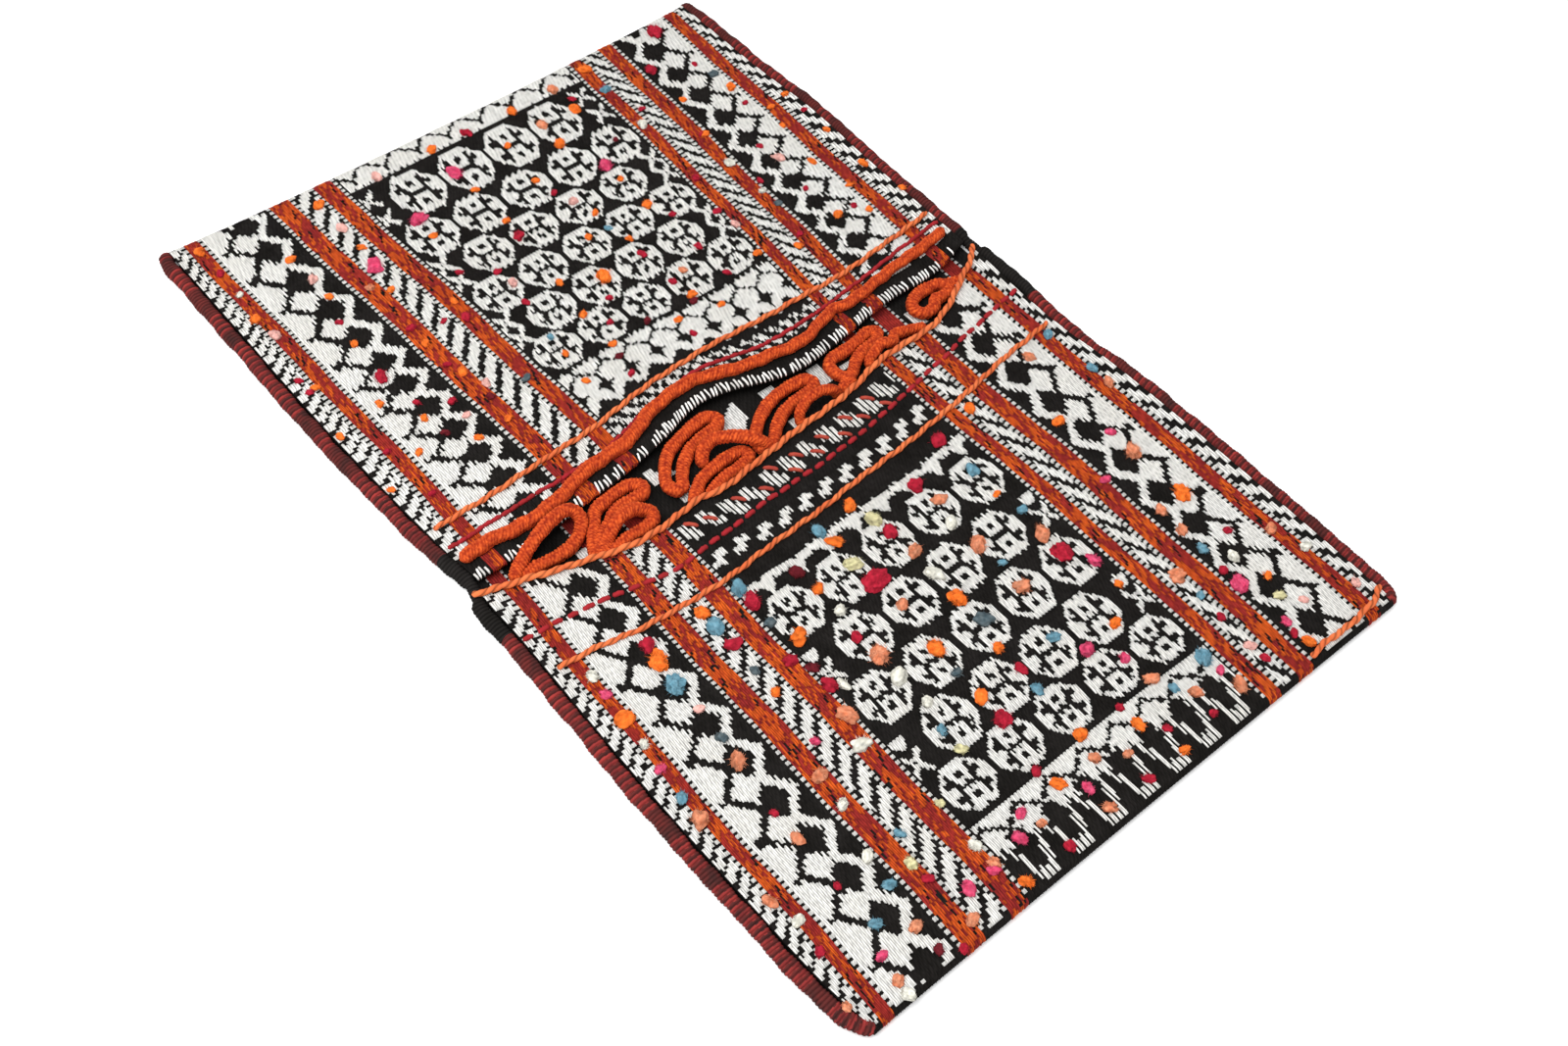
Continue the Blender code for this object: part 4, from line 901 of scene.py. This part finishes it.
hem_bars = []
bar_x = -234.0
while bar_x < 236:
    x0 = bar_x * MM
    bar_x += chance.uniform(2.5, 3.9)
    field = (x0 > field_edges(30 * MM, True)[0]).sum() - 1
    if field in BAND_FIELDS or chance.random() < 0.12:
        continue
    y0 = float(mouth_edge(x0, True))
    u = np.linspace(-1, 1, 9)
    tall, light = chance.uniform(5.2, 8.8) * MM, chance.uniform(0.62, 1.0)
    y = y0 + (u + 1) / 2 * tall - 1.5 * MM
    tucked = np.clip((y0 + 0.6 * MM - y) / (2.1 * MM), 0, 1) ** 2 * 2.4 * MM
    z = face_top(x0 + 0 * y, np.maximum(y, y0), True) + 0.1 * MM - tucked
    lean = chance.uniform(-0.9, 0.9) * MM
    hem_bars.append(spun(np.column_stack([x0 + lean * u, y, z]), chance.uniform(0.7, 0.95) * MM, 6,
                         bar_yarn(light)))
woollen("hem_bars", *together(hem_bars), [weave[WHITE]])


# The tufts: short lengths of dyed wool knotted through both faces and cut, each teased out into a
# soft flat lump with a few loose hairs.
TUFT_WOOLS = {                 # two shades of each wool
    "orange": ((0.8, 0.135, 0.016), (0.9, 0.2, 0.03)),
    "crimson": ((0.34, 0.01, 0.026), (0.44, 0.018, 0.04)),
    "maroon": ((0.11, 0.01, 0.016), (0.16, 0.014, 0.02)),
    "pink": ((0.56, 0.034, 0.1), (0.7, 0.09, 0.19)),
    "rose": ((0.74, 0.36, 0.32), (0.82, 0.46, 0.4)),
    "peach": ((0.62, 0.175, 0.08), (0.74, 0.3, 0.17)),
    "blue": ((0.1, 0.25, 0.33), (0.17, 0.33, 0.41)),
    "grey": ((0.055, 0.085, 0.1), (0.12, 0.15, 0.16)),
    "cream": ((0.78, 0.77, 0.69), (0.7, 0.68, 0.58)),
    "olive": ((0.6, 0.57, 0.3), (0.68, 0.62, 0.36)),
}
LARGE_TUFTS = [                # x, y and length in mm, heading in degrees, wool
    (-77, 305, 12, 200, "pink"), (-131, 283, 12, 250, "pink"), (-26, 331, 12, 270, "pink"),
    (73, 267, 11, 240, "pink"), (207, 374, 14, 250, "crimson"), (129, 340, 8, 180, "blue"),
    (94, 335, 9, 270, "orange"), (59, 309, 9, 230, "orange"), (-25, 364, 8, 220, "orange"),
    (52, 364, 8, 270, "orange"), (174, 338, 9, 260, "crimson"), (-27.5, 244.5, 9, 230, "crimson"),
    (-2.5, 172, 12, 250, "orange"), (72, 213, 8, 220, "orange"), (154, 212, 8, 270, "cream"),
    (-187.5, 189.5, 10, 260, "crimson"), (-29, -161, 15, 190, "crimson"),
    (-67, -206, 14, 230, "peach"), (89, -222, 14, 260, "crimson"), (-182, -120, 13, 250, "orange"),
    (-184.5, -140.5, 13, 240, "blue"), (-105, -122, 12, 250, "crimson"),
    (47.5, -182, 12, 220, "peach"), (5, -205, 12, 260, "orange"),
    (-33.5, -225.5, 12, 250, "orange"), (-37, -291, 12, 230, "crimson"),
    (195, -190.5, 12, 240, "peach"), (195, -238, 12, 250, "orange"),
    (167.5, -315.5, 12, 230, "pink"), (102.5, -340.5, 12, 250, "blue")]
USUAL = 6.5                    # length of a small tuft where none is given, in mm
SMALL_TUFTS = {                # x, y and length in mm
    "maroon": [(-66, -123, 11), (-107, -186, 9), (-4, 117), (36, 112), (-42, 102), (-181, 120),
        (98, 287, 5.5), (-177, -379, 7.5), (-137, 128)],
    "crimson": [(-180, -106, 13), (89, -98, 13), (48, -118, 13), (7, -136, 12), (-136, -140, 12),
        (-107, -202, 12), (-115, -173, 10), (8, 364, 9), (-69, -186, 9), (-1, -271, 9),
        (-12, 152, 6), (-45, 84, 6), (15, 87, 6), (-182, 252, 6), (202, 117, 6), (158, 252, 6),
        (160, 182, 6), (-144, 171, 6), (-235, 223, 6), (-218, 82, 6), (-122, 207, 6),
        (-85, 240, 6), (100, 347, 6), (138, 304, 6), (75, 120, 6), (-195, -250, 6),
        (-233, -336, 7.5), (-165, -388, 7), (22, 267, 6), (-62, 224), (-64, 186, 7), (81, 193, 6),
        (121, 214, 7.5), (36, 173, 7.5), (75, 154, 7.5), (111, 175, 7), (-27, 132, 5.5),
        (36, 137, 7), (-224, 346, 7), (-144, 216, 7.5), (-107, 200, 8.5), (-181, 155),
        (-161, 141, 7), (-222, 131), (-234, 209, 6), (208, 322, 5.5), (211, 260, 5.5),
        (187, 213, 6), (184, 154, 5.5), (245, 226, 5.5), (146, 118, 7), (196, -280, 7.5),
        (168, -301, 7.5), (137, -326, 7), (167, -365, 7), (136, -366, 7.5), (-197, -311, 5.5),
        (-151, -342, 8), (-46, -331, 7.5), (30, -332), (43, -362, 7), (76, -373), (6, -379, 8.5),
        (-67, -381, 8)],
    "peach": [(90, -202, 13), (46, -225, 13), (-189, -208, 13), (-233, -225, 13), (-113, -226, 13),
        (-156, -248, 12), (53, -137, 11), (9, -159, 11), (94, 366, 10), (62, 336, 10),
        (-195, -272, 9.5), (-235, -293, 9.5), (230, -134, 9.5), (140, -283, 9.5), (222, -298, 9.5),
        (-148, -378, 9.5), (-178, -360, 9.5), (-28, -378, 9.5), (200, -80, 9.5), (-10, -348, 9.5),
        (170, -260, 9.5), (-112, -360, 9.5), (-28, -186, 9), (50, 142, 7), (-145, 267, 7),
        (62, -330, 10.5), (-70, -359), (9, -359, 7.5), (78, -355, 9.5), (106, -370, 12),
        (-209, -378, 8.5), (-243, -371, 7), (171, -239, 10), (137, -286, 11)],
    "blue": [(-136, -122, 13), (-105, -109, 12), (-32, -106, 11), (90, -132, 11), (-232, -206, 9),
        (228, -73, 9), (230, -116, 9), (170, -280, 9), (-195, -344, 9), (34, -267, 9),
        (-3, -289, 9), (69, -344, 7.5), (32, 211, 6), (-172, -330, 8.5), (-144, -309, 7.5),
        (139, -305), (93, -179, 8), (-73, -272, 8), (-70, 147, 6), (50, -203, 6)],
    "orange": [(-98, -162, 13), (-226, -140, 13), (-29, -120, 12), (-36, -270, 11),
        (-136, -109, 11), (-128, 364, 10), (-225, 374, 10), (130, 370, 10), (128, -90, 10),
        (-5, -330, 10), (30, -348, 10), (-42, -346, 10), (170, -376, 10), (0, -103, 10),
        (172, -138, 10), (-64, -142, 9), (-1, -250, 9), (75, -285, 9), (-138, -185, 8),
        (101, -264, 7), (-78, 284), (34, 230), (14, 212), (38, 192), (-185, 228), (-185, 140),
        (-228, 291, 9.5), (-139, 104), (-75, 98), (50, 97), (245, 250), (214, 282, 9), (248, 110),
        (-145, 197), (-229, 210), (-240, 162), (-165, 102), (-238, 102), (225, 244), (244, 197),
        (25, 332), (-25, 264), (19, 286), (-38, 114), (15, 104), (89, -158, 6), (40, -380, 8),
        (-105, -381, 9.5), (-24, 306), (73, 248, 6), (-32, 187, 7), (-38, 150, 7.5), (-71, 128, 6),
        (39, 118, 8.5), (107, 122, 7), (-176, 327, 8), (-128, 306, 7), (-174, 278, 7), (-135, 256),
        (-105, 219), (-202, 170, 7), (-139, 159, 8.5), (-205, 117), (172, 293), (160, 250, 7.5),
        (218, 221, 5.5), (209, 175, 7.5), (215, 137, 5.5), (185, 117, 8.5), (209, 107),
        (137, 109, 7.5), (242, 149, 8.5), (189, -323, 7.5)],
    "cream": [(-68, -226, 13), (-120, -248, 13), (6, -181, 12), (46, -157, 10), (-222, -102, 9),
        (-170, -308, 9), (230, -323, 9), (-100, -208, 9), (182, -298, 9), (-210, -388, 9),
        (-64, -164, 9), (-66, -251, 8), (-227, -162, 8), (-224, 319, 6), (127, 289, 9.5),
        (154, 172), (-158, -272, 8.5), (-230, -313, 8.5), (-113, -344, 9.5)],
    "grey": [(7, -228, 13), (-106, -142, 9), (-186, -189, 9), (-36, -247, 8), (-138, -164, 7),
        (213, 303, 8.5), (-107, 126, 7.5), (155, 154)],
    "olive": [(5, -121, 12), (-32, -141, 12), (-73, -290, 9), (-152, -328, 9), (183, -339, 8.5),
        (-110, -309)],
    "pink": [(45, -288, 12), (102, -240, 11), (160, -196, 8), (195, -168, 8), (170, -356, 8),
        (-115, -363, 8), (-75, -346, 8), (60, -308, 8), (-223, -118, 8), (-230, -182, 8),
        (-142, -228, 7), (-136, -362, 10), (-206, -361, 7.5), (-88, -358, 10), (-29, -360, 9),
        (104, -354, 7)],
    "rose": [(-76, 364, 9), (-128, 332, 9), (-225, 270, 9), (-60, 207, 9), (28, 250, 9),
        (-184, -164, 7), (-174, 300, 9), (190, 194, 10), (113, 156, 7.5), (-132, 140, 7.5),
        (-160, 124), (135, -353, 8.5), (194, -352), (234, -365, 8)]}
LARGE_SHARE, SMALL_SHARE = 0.98, 0.9       # of the lengths above, as teased out
LARGE_HAIRS, SMALL_HAIRS = 150, 50


def ball(level):
    """The points and triangles of a unit sphere built from a divided icosahedron."""
    g = (1 + 5 ** 0.5) / 2
    flat = [(-1, g, 0), (1, g, 0), (-1, -g, 0), (1, -g, 0)]
    points = [tuple(np.roll(point, turn)) for turn in range(3) for point in flat]
    triangles = [(0, 11, 5), (0, 5, 1), (0, 1, 7), (0, 7, 10), (0, 10, 11), (1, 5, 9), (5, 11, 4),
                 (11, 10, 2), (10, 7, 6), (7, 1, 8), (3, 9, 4), (3, 4, 2), (3, 2, 6), (3, 6, 8),
                 (3, 8, 9), (4, 9, 5), (2, 4, 11), (6, 2, 10), (8, 6, 7), (9, 8, 1)]
    for _ in range(level):
        halves, finer = {}, []
        for a, b, c in triangles:
            middles = []
            for p, q in ((a, b), (b, c), (c, a)):
                key = (min(p, q), max(p, q))
                if key not in halves:
                    halves[key] = len(points)
                    points.append(tuple((m + n) / 2 for m, n in zip(points[p], points[q])))
                middles.append(halves[key])
            ab, bc, ca = middles
            finer += [(a, ab, ca), (b, bc, ab), (c, ca, bc), (ab, bc, ca)]
        triangles = finer
    points = np.array(points)
    return points / np.linalg.norm(points, axis=1)[:, None], np.array(triangles)


BALLS = {level: ball(level) for level in (2, 3)}


def knot_tuft(x, y, size, heading, level, hairs):
    """Points, faces and tones of one tuft lying on the face; the tones paint light on its top and
    bulges and shade in its dents and underneath.
    """
    upper = y > 0
    unit, triangles = BALLS[level]
    size = size * MM
    swell = np.ones(len(unit))
    for strength, many in ((0.16, 2.6), (0.11, 5.0), (0.07, 9.0)):
        waves = chance.normal(0, many, (3, 3))
        swell += strength * np.sin(unit @ waves + chance.uniform(0, 6, 3)).sum(axis=1) / 1.7
    shape = unit * swell[:, None] * np.array([0.58, 0.42, 0.25]) * size
    shape[:, 2] = np.maximum(shape[:, 2], -0.16 * size)
    turn = math.radians(heading)
    spin = np.array([[math.cos(turn), math.sin(turn), 0],
                     [-math.sin(turn), math.cos(turn), 0], [0, 0, 1]])
    height = float(face_top(x * MM, y * MM, upper)) + 0.5 * MM + 0.08 * size
    # painted light on the top and bulges, painted shade in the dents and underneath, with random
    # speckle
    tone = (np.clip(0.66 + 0.30 * unit[:, 2] + 1.0 * (swell - 1), 0.3, 1.0)
            * chance.uniform(0.62, 1.14, len(unit)))
    parts = [(shape, [triangles], tone)]
    for _ in range(hairs):
        root = unit[chance.integers(len(unit))] * np.array([0.50, 0.40, 0.28]) * size
        away = root / np.linalg.norm(root) + chance.normal(0, 0.45, 3)
        away[2] = abs(away[2]) * 0.5
        tip = root + away * size * chance.uniform(0.10, 0.26)
        beside = np.cross(away, (0.1, 0.2, 1))
        beside = beside / (np.linalg.norm(beside) + 1e-9) * 0.16 * MM
        hair = np.array([root - beside, root + beside, tip])
        parts.append((hair, [np.array([[0, 1, 2]])], np.full(3, 0.95)))
    points, faces, tones = together(parts)
    return points @ spin + np.array([x * MM, y * MM, height]), faces, tones


tuft_wools = {name: wool(f"tuft_{name}", *shades, patch=260, fuzz=0.6)
              for name, shades in TUFT_WOOLS.items()}
for number, (x, y, size, heading, colour) in enumerate(LARGE_TUFTS, 1):
    knotted = knot_tuft(x, y, size * LARGE_SHARE, heading, 3, LARGE_HAIRS)
    tuft = woollen(f"tuft_{number:02d}_wool", *knotted, [tuft_wools[colour]])
    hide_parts(f"tuft_{number:02d}")
for colour, places in SMALL_TUFTS.items():
    knotted = [knot_tuft(x, y, (*size, USUAL)[0] * SMALL_SHARE, chance.uniform(0, 360), 2,
                         SMALL_HAIRS) for x, y, *size in places]
    tufts = woollen(f"small_tufts_{colour}", *together(knotted), [tuft_wools[colour]])


# A white ground under soft studio light: what the camera sees of the ground is white, and only the
# bag's own shadow darkens it; a broad lamp on the far left gives the wool its form.
FLOOR = 20                     # half the width of the ground, in metres
GLOW = 0.12                    # brings the lit ground up to white, where it is looked at
floor = bpy.data.objects.new("floor", bpy.data.meshes.new("floor"))
floor.data.from_pydata([(-FLOOR, -FLOOR, 0), (FLOOR, -FLOOR, 0), (FLOOR, FLOOR, 0),
                        (-FLOOR, FLOOR, 0)], [], [(0, 1, 2, 3)])
scene.collection.objects.link(floor)
pale, shader = matt("pale_ground", {
    "Base Color": (0.9, 0.9, 0.9, 1), "Roughness": 1, "Specular IOR Level": 0,
    "Emission Color": (1, 1, 1, 1)})
rays = added(pale, "LightPath")
mirrored, seen = added(pale, "Math", operation="MAXIMUM"), added(pale, "Math", operation="MAXIMUM")
glow = added(pale, "Math", {1: GLOW}, operation="MULTIPLY")
linked(pale, (rays, "Is Glossy Ray", mirrored, 0), (rays, "Is Transmission Ray", mirrored, 1),
       (rays, "Is Camera Ray", seen, 0), (mirrored, 0, seen, 1), (seen, 0, glow, 0),
       (glow, 0, shader, "Emission Strength"))
floor.data.materials.append(pale)
world = bpy.data.worlds.new("studio")
scene.world = world
world.use_nodes = True
sky = world.node_tree.nodes["Background"]
sky.inputs["Color"].default_value = (1, 1, 1, 1)
sky.inputs["Strength"].default_value = 1.0
lamp = bpy.data.objects.new("window", bpy.data.lights.new("window", "AREA"))
lamp.data.size, lamp.data.energy = 1.2, 30
lamp.location = (-1.0, -0.1, 1.7)
lamp.rotation_euler = (Vector((0, 0, 0)) - lamp.location).to_track_quat("-Z", "Y").to_euler()
scene.collection.objects.link(lamp)
